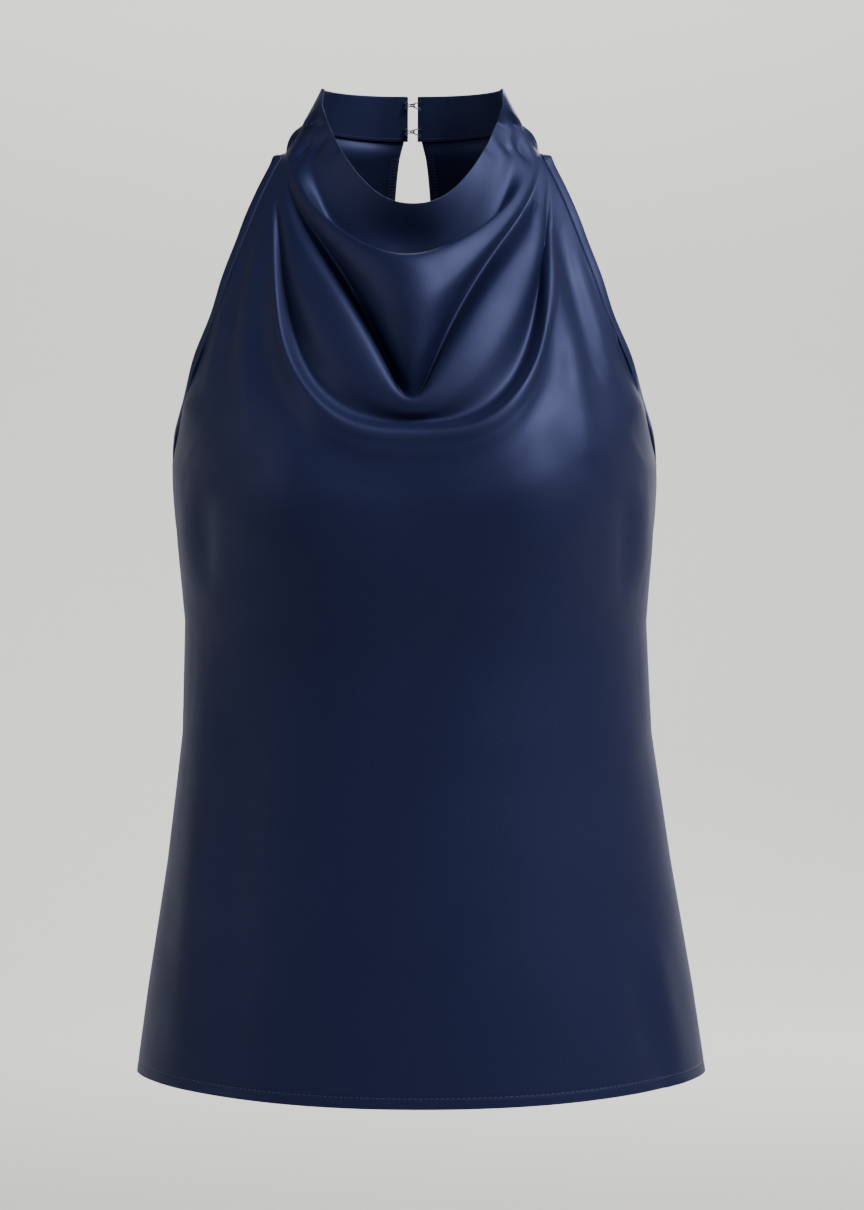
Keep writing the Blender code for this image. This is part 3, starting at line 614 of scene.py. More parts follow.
def back_surface(columns, finer):
    """Outer face of the half of the back at +X as rows of points, and the rows' places."""
    drops = finer_steps([row.drop for row in BACK_ROWS], finer)
    places = finer_steps([row.place for row in BACK_ROWS], finer)
    bottom_of_hole = KEYHOLE_ROUND + KEYHOLE_HALF
    drops[np.argmin(np.abs(drops - bottom_of_hole))] = bottom_of_hole
    levels = finer_steps(BACK_LEVELS, finer)
    levels = levels[levels < BACK_LEVELS[-1] - HEM_ROWS[-1] - 1]
    levels = np.concatenate([levels, BACK_LEVELS[-1] - np.array(HEM_ROWS)[::-1]])
    rows = [back_top_row(columns)]
    rows += [back_half_row(drop, place, columns) for drop, place in zip(drops, places)]
    rows += [level_half("back", drop, 0.0, 1, columns) for drop in levels]
    places = [SHOULDER_SEAM, *places]
    places += [place_of_drop("back", drop) for drop in levels]
    return np.array(rows), np.array(places)


def grid_normals(grid, outward=1.0):
    """Unit normals of a grid of points, from the lines that cross at each point."""
    down = np.gradient(grid, axis=0)
    across = np.gradient(grid, axis=1)
    return outward * unit(np.cross(down, across))


def seam_line_normals(line, slope):
    """Outward directions square to a seam that runs round the neck, tilted up by slope."""
    tangent = unit(np.gradient(line, axis=0))
    level = np.stack([-tangent[:, 1], tangent[:, 0], np.full(len(line), slope)], axis=1)
    level -= tangent * np.sum(level * tangent, axis=1, keepdims=True)
    return unit(level)


def seam_normals(points):
    """Outward direction that the walls share where two pieces meet, for points at +X."""
    neck = neck_line()
    lines = [neck]
    normals = [seam_line_normals(neck, NECK_SLOPE)]
    for run in edge_runs("front")[int(SHOULDER_SEAM)::2]:
        tangent = unit(np.gradient(run, axis=0))
        lines.append(run)
        normals.append(unit(tangent[:, [2, 1, 0]] * np.array([-1.0, 0.0, 1.0])))
    lines = np.concatenate(lines)
    normals = np.concatenate(normals)
    found = [int(np.argmin(np.linalg.norm(lines - point, axis=1))) for point in points]
    return normals[found]


def drawn_in(border, normals, inner, distance):
    """Points of a border moved away from its seam, towards the cloth's next points."""
    across = unit(np.cross(normals, unit(np.gradient(border, axis=0))))
    side = np.sign(np.sum(across * (inner - border), axis=1, keepdims=True))
    return border + across * side * distance


def in_armhole(places):
    """True for the rows that end on the armhole, between the shoulder and side seams."""
    return (places > ARMHOLE_SEAM + NEAR) & (places < SIDE_SEAM - NEAR)


def lean(points):
    """Points moved across to the middle line that the top has at their height."""
    moved = np.array(points, float)
    moved[..., 0] += spline(column(LEAN, "drop"), column(LEAN, "x"), -moved[..., 2])
    return moved


def evened_out(loop, directions):
    """Directions along a closed line of points, each averaged with those close to it."""
    along = lengths_along(np.concatenate([loop, loop[:1]]))
    apart = np.abs(along[:-1, None] - along[None, :-1])
    apart = np.minimum(apart, along[-1] - apart)
    spacing = (np.diff(along) + np.roll(np.diff(along), 1)) / 2
    weights = np.exp(-(apart / EVEN_REACH) ** 2) * spacing
    return unit(weights @ unit(directions))


def crease_heights(creases, points, amount):
    """How far the creases move each point of a grid, outwards above zero."""
    heights = np.zeros(points.shape[:-1])
    for crease in creases:
        marks = np.array([(x, 0.0, -drop) for x, drop in crease.points], float)
        line = drawn(marks, CREASE_STEPS)
        along = lengths_along(line) / lengths_along(line)[-1]
        near_x = points[..., 0, None] - line[:, 0]
        near_z = points[..., 2, None] - line[:, 2]
        apart = near_x ** 2 + near_z ** 2
        nearest = np.argmin(apart, axis=-1)
        spread = np.exp(-np.min(apart, axis=-1) / crease.width ** 2)
        run_out = np.sin(math.pi * along[nearest]) ** CREASE_ENDS
        heights += crease.height * spread * run_out * amount
    return heights


def edge_fade(count, reach):
    """A share for each of a row's points that falls to zero within reach of both ends."""
    ends = np.minimum(np.arange(count), np.arange(count)[::-1])
    near = np.clip(ends / reach, 0.0, 1.0)
    return near ** 2 * (3 - 2 * near)


def eased_middle(rows):
    """Rows with the sharp turn at their middle rounded, as a fold of soft cloth has it."""
    away = np.abs(np.linspace(-1.0, 1.0, rows.shape[1]))
    share = np.clip(1.0 - away / EASE_REACH, 0.0, 1.0)[None, :, None]
    for _ in range(EASE_PASSES):
        mean = (np.roll(rows, 1, axis=1) + np.roll(rows, -1, axis=1)) / 2
        rows = rows + (mean - rows) * share
    return rows


def satin_hex_to_linear(text):
    """An sRGB hex colour as linear red, green, blue and alpha."""
    channels = [int(text[i:i + 2], 16) / 255 for i in (0, 2, 4)]
    linear = [c / 12.92 if c <= 0.04045 else ((c + 0.055) / 1.055) ** 2.4 for c in channels]
    return (*linear, 1.0)


def add_node(material, kind, links=(), **settings):
    """A node of a material with its settings, joined by (input, node, output) links."""
    tree = material.node_tree
    made = tree.nodes.new(kind)
    for name, value in settings.items():
        if name in made.bl_rna.properties:
            setattr(made, name, value)
        else:
            made.inputs[name.replace("_", " ")].default_value = value
    for into, source, out in links:
        tree.links.new(source.outputs[out], made.inputs[into])
    return made


def new_material(name):
    """An empty node material and its output."""
    material = bpy.data.materials.new(name)
    material.use_nodes = True
    material.node_tree.nodes.clear()
    return material


def woven_satin(settings):
    """Navy satin-weave polyester: long floats of filament give a soft, bluish, broad shine."""
    found = bpy.data.materials.get("navy_woven_satin")
    if found:
        return found
    material = new_material("navy_woven_satin")
    spot = add_node(material, "ShaderNodeUVMap", uv_map="cloth")
    # Real threads lie 0.1 mm apart, too fine to show, so the slubs are drawn 0.7 by 2.4 mm
    stretched = add_node(
        material, "ShaderNodeMapping", [("Vector", spot, "UV")], Scale=(420.0, 1500.0, 1.0)
    )
    slubs = add_node(
        material, "ShaderNodeTexNoise", [("Vector", stretched, "Vector")],
        Scale=1.0, Detail=3.0, Roughness=0.6,
    )
    cloudy = add_node(
        material, "ShaderNodeTexNoise", [("Vector", spot, "UV")], Scale=22.0, Detail=2.0
    )
    # The same noise sets the tone: a random tone of the weave, with the low spots between the floats
    # painted darker as painted shade
    tone = add_node(material, "ShaderNodeValToRGB", [("Fac", slubs, "Fac")])
    tone.color_ramp.elements[0].position = 0.3
    tone.color_ramp.elements[0].color = satin_hex_to_linear(settings.satin_deep_and_painted_shade)
    tone.color_ramp.elements[1].position = 0.75
    tone.color_ramp.elements[1].color = satin_hex_to_linear(settings.satin_colour)
    gloss = add_node(
        material, "ShaderNodeMapRange", [("Value", cloudy, "Fac")],
        From_Min=0.3, From_Max=0.7, To_Min=0.53, To_Max=0.6,
    )
    weave = add_node(
        material, "ShaderNodeBump", [("Height", slubs, "Fac")], Strength=0.55, Distance=0.0002
    )
    shader = add_node(
        material, "ShaderNodeBsdfPrincipled",
        [("Base Color", tone, "Color"), ("Roughness", gloss, "Result"), ("Normal", weave, "Normal")],
        Metallic=0.0,
    )
    shader.inputs["Specular IOR Level"].default_value = settings.satin_shine
    shader.inputs["Specular Tint"].default_value = satin_hex_to_linear(settings.shine_colour)
    shader.inputs["Sheen Weight"].default_value = 0.06
    shader.inputs["Sheen Roughness"].default_value = 0.3
    shader.inputs["Sheen Tint"].default_value = satin_hex_to_linear(settings.shine_colour)
    add_node(material, "ShaderNodeOutputMaterial", [("Surface", shader, "BSDF")])
    return material


def spun_thread(settings):
    """Navy polyester sewing thread: two twisted plies, a little duller than the satin."""
    found = bpy.data.materials.get("navy_sewing_thread")
    if found:
        return found
    material = new_material("navy_sewing_thread")
    spot = add_node(material, "ShaderNodeTexCoord")
    plies = add_node(
        material, "ShaderNodeTexNoise", [("Vector", spot, "Object")], Scale=2600.0, Detail=2.0
    )
    tone = add_node(material, "ShaderNodeValToRGB", [("Fac", plies, "Fac")])
    tone.color_ramp.elements[0].position = 0.35
    tone.color_ramp.elements[0].color = satin_hex_to_linear(settings.satin_deep_and_painted_shade)
    tone.color_ramp.elements[1].position = 0.7
    tone.color_ramp.elements[1].color = satin_hex_to_linear(settings.thread_colour)
    shader = add_node(
        material, "ShaderNodeBsdfPrincipled", [("Base Color", tone, "Color")], Roughness=0.45
    )
    shader.inputs["Sheen Weight"].default_value = 0.3
    add_node(material, "ShaderNodeOutputMaterial", [("Surface", shader, "BSDF")])
    return material


def enamelled_wire(settings):
    """Steel wire with dark navy enamel, rubbed bright in scattered spots; on hooks and eyes it wears
    so at the bends.
    """
    material = new_material("enamelled_steel_wire")
    spot = add_node(material, "ShaderNodeTexCoord")
    wear = add_node(
        material, "ShaderNodeTexNoise", [("Vector", spot, "Object")], Scale=900.0, Detail=3.0
    )
    tone = add_node(material, "ShaderNodeValToRGB", [("Fac", wear, "Fac")])
    tone.color_ramp.elements[0].position = 0.52
    tone.color_ramp.elements[0].color = satin_hex_to_linear(settings.wire_colour)
    tone.color_ramp.elements[1].position = 0.7
    tone.color_ramp.elements[1].color = satin_hex_to_linear("8a8f9c")
    shader = add_node(
        material, "ShaderNodeBsdfPrincipled", [("Base Color", tone, "Color")],
        Roughness=0.3, Metallic=0.8,
    )
    add_node(material, "ShaderNodeOutputMaterial", [("Surface", shader, "BSDF")])
    return material


def deselect_all():
    """Nothing selected and nothing active."""
    bpy.ops.object.select_all(action="DESELECT")
    bpy.context.view_layer.objects.active = None


def cloth_grid(name, points, material):
    """A grid primitive of cloth laid on rows of points, with the cloth's own UV map in metres."""
    rows, columns = points.shape[:2]
    deselect_all()
    bpy.ops.mesh.primitive_grid_add(
        x_subdivisions=columns - 1, y_subdivisions=rows - 1, size=1.0, calc_uvs=False
    )
    piece = bpy.context.object
    piece.name = piece.data.name = name
    mesh = piece.data
    flat = points[::-1].reshape(-1, 3) * MM
    mesh.vertices.foreach_set("co", flat.ravel())
    across = np.array([lengths_along(row) for row in points])
    across -= across[:, columns // 2:columns // 2 + 1]
    down = np.array([lengths_along(points[:, c]) for c in range(columns)]).T
    spots = np.stack([across, -down], axis=-1)[::-1].reshape(-1, 2) * MM
    corner = np.empty(len(mesh.loops), int)
    mesh.loops.foreach_get("vertex_index", corner)
    layer = mesh.uv_layers.new(name="cloth")
    layer.data.foreach_set("uv", spots[corner].ravel())
    mesh.update()
    bpy.ops.object.mode_set(mode="OBJECT")
    mesh.materials.clear()
    mesh.materials.append(material)
    for polygon in mesh.polygons:
        polygon.use_smooth = True
    return piece


def face_outwards(piece, towards):
    """Turns an open sheet's faces over if, on the whole, they look away from the direction."""
    faces = piece.data.polygons
    if sum(face.normal.dot(Vector(towards)) * face.area for face in faces) < 0:
        piece.data.flip_normals()


def thicken(piece, thickness, doubled=()):
    """Cloth thickness laid inside the outer face; doubled vertices get the full thickness."""
    wall = piece.modifiers.new("cloth", "SOLIDIFY")
    wall.thickness = thickness * MM
    wall.offset = -1.0
    wall.use_rim = True
    if len(doubled):
        group = piece.vertex_groups.new(name="doubled")
        group.add([int(i) for i in doubled], 1.0, "REPLACE")
        wall.vertex_group = group.name
        wall.thickness_vertex_group = 0.5
    bpy.context.view_layer.objects.active = piece
    bpy.ops.object.modifier_apply(modifier=wall.name)


def join_pieces(pieces, name):
    """Several objects joined into the first of them under one name."""
    deselect_all()
    for piece in pieces:
        piece.select_set(True)
    bpy.context.view_layer.objects.active = pieces[0]
    bpy.ops.object.join()
    joined = bpy.context.object
    joined.name = joined.data.name = name
    return joined


def stitch_shape():
    """One stitch of thread as a small ball lying along X; sewn_line stretches it into a short bar,
    thick in the middle, with its ends dipping in.
    """
    deselect_all()
    bpy.ops.mesh.primitive_uv_sphere_add(segments=6, ring_count=5, radius=0.5)
    shape = bpy.context.object
    bpy.ops.object.mode_set(mode="EDIT")
    bpy.ops.mesh.select_all(action="SELECT")
    bpy.ops.transform.rotate(value=math.pi / 2, orient_axis="Y", center_override=(0.0, 0.0, 0.0))
    bpy.ops.object.mode_set(mode="OBJECT")
    return shape


def sewn_line(name, points, normals, settings, length, pitch, width, turn=0.0):
    """A line of stitches along points of a surface, each a copy of one stitch, as one piece."""
    shape = stitch_shape()
    mesh = shape.data
    coords = np.empty(len(mesh.vertices) * 3)
    mesh.vertices.foreach_get("co", coords)
    coords = coords.reshape(-1, 3) * (length, width, width * STITCH_HEIGHT)
    coords[:, 2] -= STITCH_DIP * width * (2 * coords[:, 0] / length) ** 4
    # Blender gives the sphere's faces in another order in each run, so they are sorted
    faces = sorted(list(p.vertices) for p in mesh.polygons)
    bpy.data.objects.remove(shape)
    total = lengths_along(points)[-1]
    count = max(2, int(total / pitch))
    wanted = (np.arange(count) + 0.5) * total / count
    middles = at_distances(points, wanted)
    upward = unit(at_distances(points, wanted, normals))
    ahead = at_distances(points, np.minimum(wanted + 0.5, total))
    ahead = ahead - at_distances(points, np.maximum(wanted - 0.5, 0.0))
    ahead = unit(ahead - upward * np.sum(ahead * upward, axis=1, keepdims=True))
    aside = np.cross(upward, ahead)
    turned = ahead * math.cos(turn) + aside * math.sin(turn)
    aside = np.cross(upward, turned)
    frames = np.stack([turned, aside, upward], axis=1)
    placed = np.einsum("vk,nkj->nvj", coords, frames) + middles[:, None, :]
    placed += upward[:, None, :] * width * STITCH_RISE
    all_faces = [[v + n * len(coords) for v in face] for n in range(count) for face in faces]
    made = bpy.data.meshes.new(name)
    made.from_pydata((placed.reshape(-1, 3) * MM).tolist(), [], all_faces)
    made.update()
    piece = bpy.data.objects.new(name, made)
    bpy.context.scene.collection.objects.link(piece)
    made.materials.append(spun_thread(settings))
    for polygon in made.polygons:
        polygon.use_smooth = True
    return piece


class Garment:
    """Surfaces of the top that its pieces share, worked out once."""

    def __init__(self, columns, finer, amount):
        self.front, self.front_places, self.front_downs = front_surface(columns, finer)
        self.front = eased_middle(self.front)
        self.front_normals = grid_normals(self.front)
        self.back, self.back_places = back_surface(columns * 2 // 3, finer)
        self.back_normals = grid_normals(self.back, -1.0)
        self.set_seam_normals()
        self.set_armhole()
        self.crease(amount)

    def set_seam_normals(self):
        """Both panels' edges take the directions that meeting walls share."""
        sewn = ~in_armhole(self.front_places)
        self.front_normals[sewn, -1] = seam_normals(self.front[sewn, -1])
        self.front_normals[:, 0] = self.front_normals[:, -1] * MIRROR
        sewn = ~in_armhole(self.back_places)
        self.back_normals[sewn, -1] = seam_normals(self.back[sewn, -1])
        self.back_normals[0] = seam_normals(self.back[0])
        middle = np.abs(self.back[:, 0, 0]) < NEAR
        self.back_normals[middle, 0, 0] = 0.0
        self.back_normals = unit(self.back_normals)

    def set_armhole(self):
        """The closed line round the armhole at +X, with even directions along and off it."""
        front, places, _ = front_surface(WALL_COLUMNS, 1)
        back, back_places = back_surface(WALL_COLUMNS * 2 // 3, 1)
        down = np.flatnonzero((places > ARMHOLE_SEAM - NEAR) & (places < SIDE_SEAM + NEAR))
        up = np.flatnonzero(in_armhole(back_places))[::-1]
        line = np.concatenate([front[down, -1], back[up, -1]])
        normals = grid_normals(front)
        back_normals = grid_normals(back, -1.0)
        ends = down[[0, -1]]
        normals[ends, -1] = seam_normals(front[ends, -1])
        normals = np.concatenate([normals[down, -1], back_normals[up, -1]])
        normals = evened_out(line, normals)
        tangent = evened_out(line, np.roll(line, -1, axis=0) - np.roll(line, 1, axis=0))
        across = unit(np.cross(normals, tangent))
        normals = unit(np.cross(tangent, across))
        line, across, normals = (np.concatenate([v, v[:1]]) for v in (line, across, normals))
        along = lengths_along(line)
        wanted = np.arange(0.0, along[-1], BINDING_STEP)
        self.hole = spline(along, line, wanted)
        self.hole_across = unit(spline(along, across, wanted))
        self.hole_normals = unit(spline(along, normals, wanted))

    def crease(self, amount):
        """Adds the creases, which fade out towards the seams."""
        count = self.front.shape[1]
        fade = edge_fade(count, FADE_COLUMNS) * edge_fade(len(self.front), FADE_ROWS)[:, None]
        fade[-HEM_FREE_ROWS:] = edge_fade(count, FADE_COLUMNS)
        heights = crease_heights(FRONT_CREASES, self.front, amount) * fade
        self.front = self.front + self.front_normals * heights[..., None]
        self.front_normals[1:-1, 1:-1] = grid_normals(self.front)[1:-1, 1:-1]
        whole = np.concatenate([(self.back * MIRROR)[:, :0:-1], self.back], axis=1)
        normals = [(self.back_normals * MIRROR)[:, :0:-1], self.back_normals]
        self.whole_back_normals = np.concatenate(normals, axis=1)
        from_neck = np.clip(np.arange(len(whole)) / FADE_BACK_ROWS, 0, 1)[:, None]
        heights = crease_heights(BACK_CREASES, whole, amount)
        heights *= edge_fade(whole.shape[1], FADE_BACK_COLUMNS) * from_neck
        self.whole_back = whole + self.whole_back_normals * heights[..., None]


def make_garment(settings):
    """The shared surfaces, worked out anew for the settings of this run."""
    return Garment(settings.columns, settings.finer, settings.crease_amount)


class HighNeckTopSettings(bpy.types.PropertyGroup):
    """Sizes and colours of the top that a user may change."""

    satin_colour: StringProperty(
        name="Satin", description="sRGB hex colour of the satin's raised floats", default="0f173c"
    )
    # Painted shade: the darker satin colour that the low spots between the floats take; the thread's
    # darker plies use it too
    satin_deep_and_painted_shade: StringProperty(
        name="Satin, deep", description="sRGB hex colour between the floats", default="0a102c"
    )
    shine_colour: StringProperty(
        name="Shine", description="sRGB hex tint of the satin's shine", default="a4adf4"
    )
    thread_colour: StringProperty(
        name="Thread", description="sRGB hex colour of the sewing thread", default="38426f"
    )
    wire_colour: StringProperty(
        name="Wire enamel", description="sRGB hex colour of the hooks and eyes", default="15182a"
    )
    satin_shine: FloatProperty(
        name="Satin shine", description="Strength of the satin's shine", default=0.8, min=0.0, max=1.0
    )
    cloth_thickness: FloatProperty(
        name="Cloth thickness", description="Thickness of a doubled cloth edge in millimetres",
        default=1.0, min=0.3, max=1.2,
    )
    crease_amount: FloatProperty(
        name="Creases", description="Share of the creases' full height", default=1.0, min=0.0, max=2.0
    )
    hem_pitch: FloatProperty(
        name="Hem stitch", description="Length of a hem stitch in millimetres", default=3.2, min=1.5
    )
    fine_pitch: FloatProperty(
        name="Fine stitch", description="Length of an edge stitch in millimetres", default=2.2, min=1.0
    )
    columns: IntProperty(
        name="Columns", description="Points across half of the front", default=60, min=17
    )
    finer: IntProperty(
        name="Finer rows", description="Rows for each row of the model's walls", default=4, min=1
    )
    key_power: FloatProperty(
        name="Key light", description="Power of the key light", default=88.0, unit="POWER"
    )
    fill_power: FloatProperty(
        name="Fill light", description="Power of the fill light", default=9.0, unit="POWER"
    )
    floor_colour: FloatVectorProperty(
        name="Floor", description="Colour of the floor", default=(0.5, 0.494, 0.482), subtype="COLOR"
    )


def settings_of(context):
    """The top's settings in the scene."""
    return context.scene.high_neck_top


def finish_cloth(piece, node):
    """A cloth piece rides on the body and stands for its CAD wall, which is hidden."""
    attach(piece, "root")
    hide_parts(node)


def finished_panel(points, normals, from_hem):
    """A panel's outer points with the hem's stitch groove, and side edges sunk in their seams."""
    groove = GROOVE_DEPTH * np.exp(-((from_hem - HEM_STITCH_HEIGHT) / GROOVE_WIDTH) ** 2)
    outer = points - normals * groove[:, None, None]
    for edge, inner in ((0, 1), (-1, -2)):
        outer[:, edge] = drawn_in(outer[:, edge], normals[:, edge], outer[:, inner], -SEAM_LAP)
        outer[:, edge] -= normals[:, edge] * SEAM_SINK
    return outer


def mirrored(hand, *values):
    """Points or directions on the wearer's left as they are, or turned over for the right."""
    return [value * MIRROR if hand < 0 else value for value in values]


class HNT_OT_front(bpy.types.Operator):
    """Front panel: one piece of satin from the folded cowl neckline to the turned hem"""

    bl_idname = "high_neck_top.front"
    bl_label = "Front with cowl"

    def execute(self, context):
        settings = settings_of(context)
        garment = make_garment(settings)
        from_hem = garment.front_downs[-1] - garment.front_downs
        outer = finished_panel(garment.front, garment.front_normals, from_hem)
        piece = cloth_grid("front_cloth", lean(outer), woven_satin(settings))
        face_outwards(piece, (0.0, -1.0, 0.0))
        columns = outer.shape[1]
        last = len(from_hem) - 1
        doubled = (from_hem < HEM_STITCH_HEIGHT) | (np.arange(last + 1) < len(NECKLINE_ROWS) - 1)
        doubled = [(last - r) * columns + c for r in np.flatnonzero(doubled) for c in range(columns)]
        thicken(piece, settings.cloth_thickness, doubled)
        finish_cloth(piece, "front_panel")
        return {"FINISHED"}


class HNT_OT_back(bpy.types.Operator):
    """Back panel: one piece of satin with a keyhole that is open at the neck"""

    bl_idname = "high_neck_top.back"
    bl_label = "Back with keyhole"

    def execute(self, context):
        settings = settings_of(context)
        garment = make_garment(settings)
        drops = -garment.back[:, 0, 2]
        from_hem = BACK_LEVELS[-1] - drops
        outer = finished_panel(garment.whole_back, garment.whole_back_normals, from_hem)
        middle = garment.back.shape[1] - 1
        open_rows = keyhole_half_width(drops) > KEYHOLE_SHUT
        open_rows[0] = True
        right = outer[:, middle:].copy()
        left = outer[:, :middle + 1].copy()
        hole = np.where(open_rows, garment.back[:, 0, 0], 0.0)
        right[:, 0, 0] = hole
        left[:, -1, 0] = -hole
        halves = []
        for name, half in (("back_cloth", right), ("back_cloth_other", left)):
            piece = cloth_grid(name, lean(half), woven_satin(settings))
            face_outwards(piece, (0.0, 1.0, 0.0))
            halves.append(piece)
        piece = join_pieces(halves, "back_cloth")
        bpy.ops.object.mode_set(mode="EDIT")
        bpy.ops.mesh.select_all(action="SELECT")
        bpy.ops.mesh.remove_doubles(threshold=WELD)
        bpy.ops.object.mode_set(mode="OBJECT")
        places = np.array([tuple(v.co) for v in piece.data.vertices]) / MM
        near_hem = places[:, 2] < -(BACK_LEVELS[-1] - HEM_STITCH_HEIGHT)
        thicken(piece, settings.cloth_thickness, np.flatnonzero(near_hem))
        finish_cloth(piece, "back_panel")
        return {"FINISHED"}


def band_grid():
    """Outer points of the half band at +X, from its top edge down, and their normals."""
    tops = drawn(np.array([(s.top_x, s.top_y, -s.top_drop) for s in BAND_STATIONS], float))
    lows = neck_line()
    at = np.linspace(0.0, len(tops) - 1, BAND_COLUMNS)
    index = np.arange(len(tops))
    top = np.stack([np.interp(at, index, tops[:, axis]) for axis in range(3)], axis=1)
    low = np.stack([np.interp(at, index, lows[:, axis]) for axis in range(3)], axis=1)
    share = np.linspace(0.0, 1.0, BAND_ROWS + 1)[:, None, None]
    outer = top + (low - top) * share
    normals = grid_normals(outer, -1.0)
    normals[-1] = seam_normals(outer[-1])
    return outer, normals


class HNT_OT_band(bpy.types.Operator):
    """Neck band: two doubled strips that end at the centre back"""

    bl_idname = "high_neck_top.band"
    bl_label = "Neck band"

    def execute(self, context):
        settings = settings_of(context)
        for name, hand in HANDS:
            outer, normals = band_grid()
            outer[-1] = drawn_in(outer[-1], normals[-1], outer[-2], -BAND_LAP)
            outer[-1] -= normals[-1] * BAND_SINK
            wave = np.sin(np.linspace(0, BAND_WAVES, BAND_COLUMNS))
            wave *= BAND_WAVE * np.sin(np.linspace(0, math.pi, BAND_COLUMNS))
            outer -= normals * (BAND_INSET - wave)[None, :, None]
            if hand < 0:
                outer = (outer * MIRROR)[:, ::-1]
            piece = cloth_grid("neck_band_cloth_" + name, lean(outer), woven_satin(settings))
            face_outwards(piece, (hand * 0.2, 1.0, 0.0))
            thicken(piece, BAND_THICKNESS)
            edge = piece.modifiers.new("rounded", "BEVEL")
            edge.width = BAND_ROUND * MM
            edge.segments = 3
            edge.limit_method = "ANGLE"
            edge.angle_limit = math.radians(50)
            bpy.ops.object.modifier_apply(modifier=edge.name)
            finish_cloth(piece, "neck_band_" + name)
        return {"FINISHED"}


class HNT_OT_bindings(bpy.types.Operator):
    """Armhole bindings: a folded strip round each armhole, stitched at its inner edge"""

    bl_idname = "high_neck_top.bindings"
    bl_label = "Armhole bindings"

    def execute(self, context):
        settings = settings_of(context)
        garment = make_garment(settings)
        low, high = SEAM_GAP / 2 - SEAM_LAP, SEAM_GAP / 2 + BINDING_WIDTH
        # Reach across and height off the seam's face, round the folded strip's own section
        section = (
            (low, -0.25), (low + 0.5, 0.0), (low + 1.2, -0.12), (low + 1.8, 0.02),
            (low + 3.0, 0.1), (high - 1.6, 0.08), (high - 0.6, -0.08), (high - 0.12, -0.4),
            (high, -0.75), (high - 0.12, -1.1), (high - 0.8, -1.4), (high - 3.0, -1.45),
            (low + 1.0, -1.4), (low, -1.2),
        )
        line = garment.hole
        for name, hand in HANDS:
            rows = [
                line + garment.hole_across * reach + garment.hole_normals * height
                for reach, height in (*section, section[0])
            ]
            points = np.array([np.concatenate([row, row[:1]]) for row in rows])
            if hand < 0:
                points = (points * MIRROR)[:, ::-1]
            piece = cloth_grid("armhole_binding_cloth_" + name, lean(points), woven_satin(settings))
            bpy.ops.object.mode_set(mode="EDIT")
            bpy.ops.mesh.select_all(action="SELECT")
            bpy.ops.mesh.remove_doubles(threshold=WELD)
            bpy.ops.mesh.normals_make_consistent(inside=False)
            bpy.ops.object.mode_set(mode="OBJECT")
            finish_cloth(piece, "armhole_binding_" + name)
            reach, height = section[2]
            seam = line + garment.hole_across * reach + garment.hole_normals * height
            seam, normals = mirrored(hand, seam, garment.hole_normals)
            sewn = sewn_line(
                "binding_stitches_" + name, lean(seam), normals, settings,
                length=settings.fine_pitch * FINE_SHARE, pitch=settings.fine_pitch,
                width=BINDING_THREAD,
            )
            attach(sewn, "root")
        return {"FINISHED"}


class HNT_OT_stitching(bpy.types.Operator):
    """Sewing of the hem, the neck seam and the keyhole's turned edges"""

    bl_idname = "high_neck_top.stitching"
    bl_label = "Stitching"

    def execute(self, context):
        settings = settings_of(context)
        garment = make_garment(settings)
        from_hem = garment.front_downs[-1] - garment.front_downs
        row = int(np.argmin(np.abs(from_hem - HEM_STITCH_HEIGHT)))
        lines = [(garment.front[row], garment.front_normals[row])]
        drops = -garment.back[:, 0, 2]
        row = int(np.argmin(np.abs(BACK_LEVELS[-1] - drops - HEM_STITCH_HEIGHT)))
        lines.append((garment.whole_back[row], garment.whole_back_normals[row]))
        pieces = [
            sewn_line(
                "hem_stitches", lean(points - normals * THREAD_SINK), normals, settings,
                length=settings.hem_pitch * HEM_SHARE, pitch=settings.hem_pitch, width=HEM_THREAD,
            )
            for points, normals in lines
        ]
        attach(join_pieces(pieces, "hem_stitches"), "root")
        pieces = []
        outer, normals = band_grid()
        inside = outer[-2] - normals[-2] * (BAND_THICKNESS + THREAD_SINK)
        for _, hand in HANDS:
            points, off = mirrored(hand, inside, normals[-2])
            pieces.append(
                sewn_line(
                    "neck_seam_stitches", lean(points), -off, settings, width=NECK_THREAD,
                    length=settings.fine_pitch * FINE_SHARE, pitch=settings.fine_pitch,
                )
            )
        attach(join_pieces(pieces, "neck_seam_stitches"), "root")
        pieces = []
        rows = np.flatnonzero(keyhole_half_width(drops) > 0.0)
        rows = np.concatenate([rows[rows > 0][:-1], rows[-1:]])
        edge = garment.back[rows, 0]
        off = garment.back_normals[rows, 0]
        away = unit(np.cross(off, unit(np.gradient(edge, axis=0))))
        away *= np.sign(away[:1, :1])
        for stitch in KEYHOLE_STITCHES:
            points = edge + away * stitch.reach
            points[:, 1] = body_depth("back", points[:, 0], -points[:, 2])
            inside = points - off * (settings.cloth_thickness * 0.5 + THREAD_STANDS_OFF)
            for _, hand in HANDS:
                line, outward = mirrored(hand, inside, off)
                pieces.append(
                    sewn_line(
                        "keyhole_stitches", lean(line), -outward, settings, width=KEYHOLE_THREAD,
                        length=stitch.length, pitch=KEYHOLE_PITCH, turn=stitch.turn * hand,
                    )
                )
        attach(join_pieces(pieces, "keyhole_stitches"), "root")
        return {"FINISHED"}


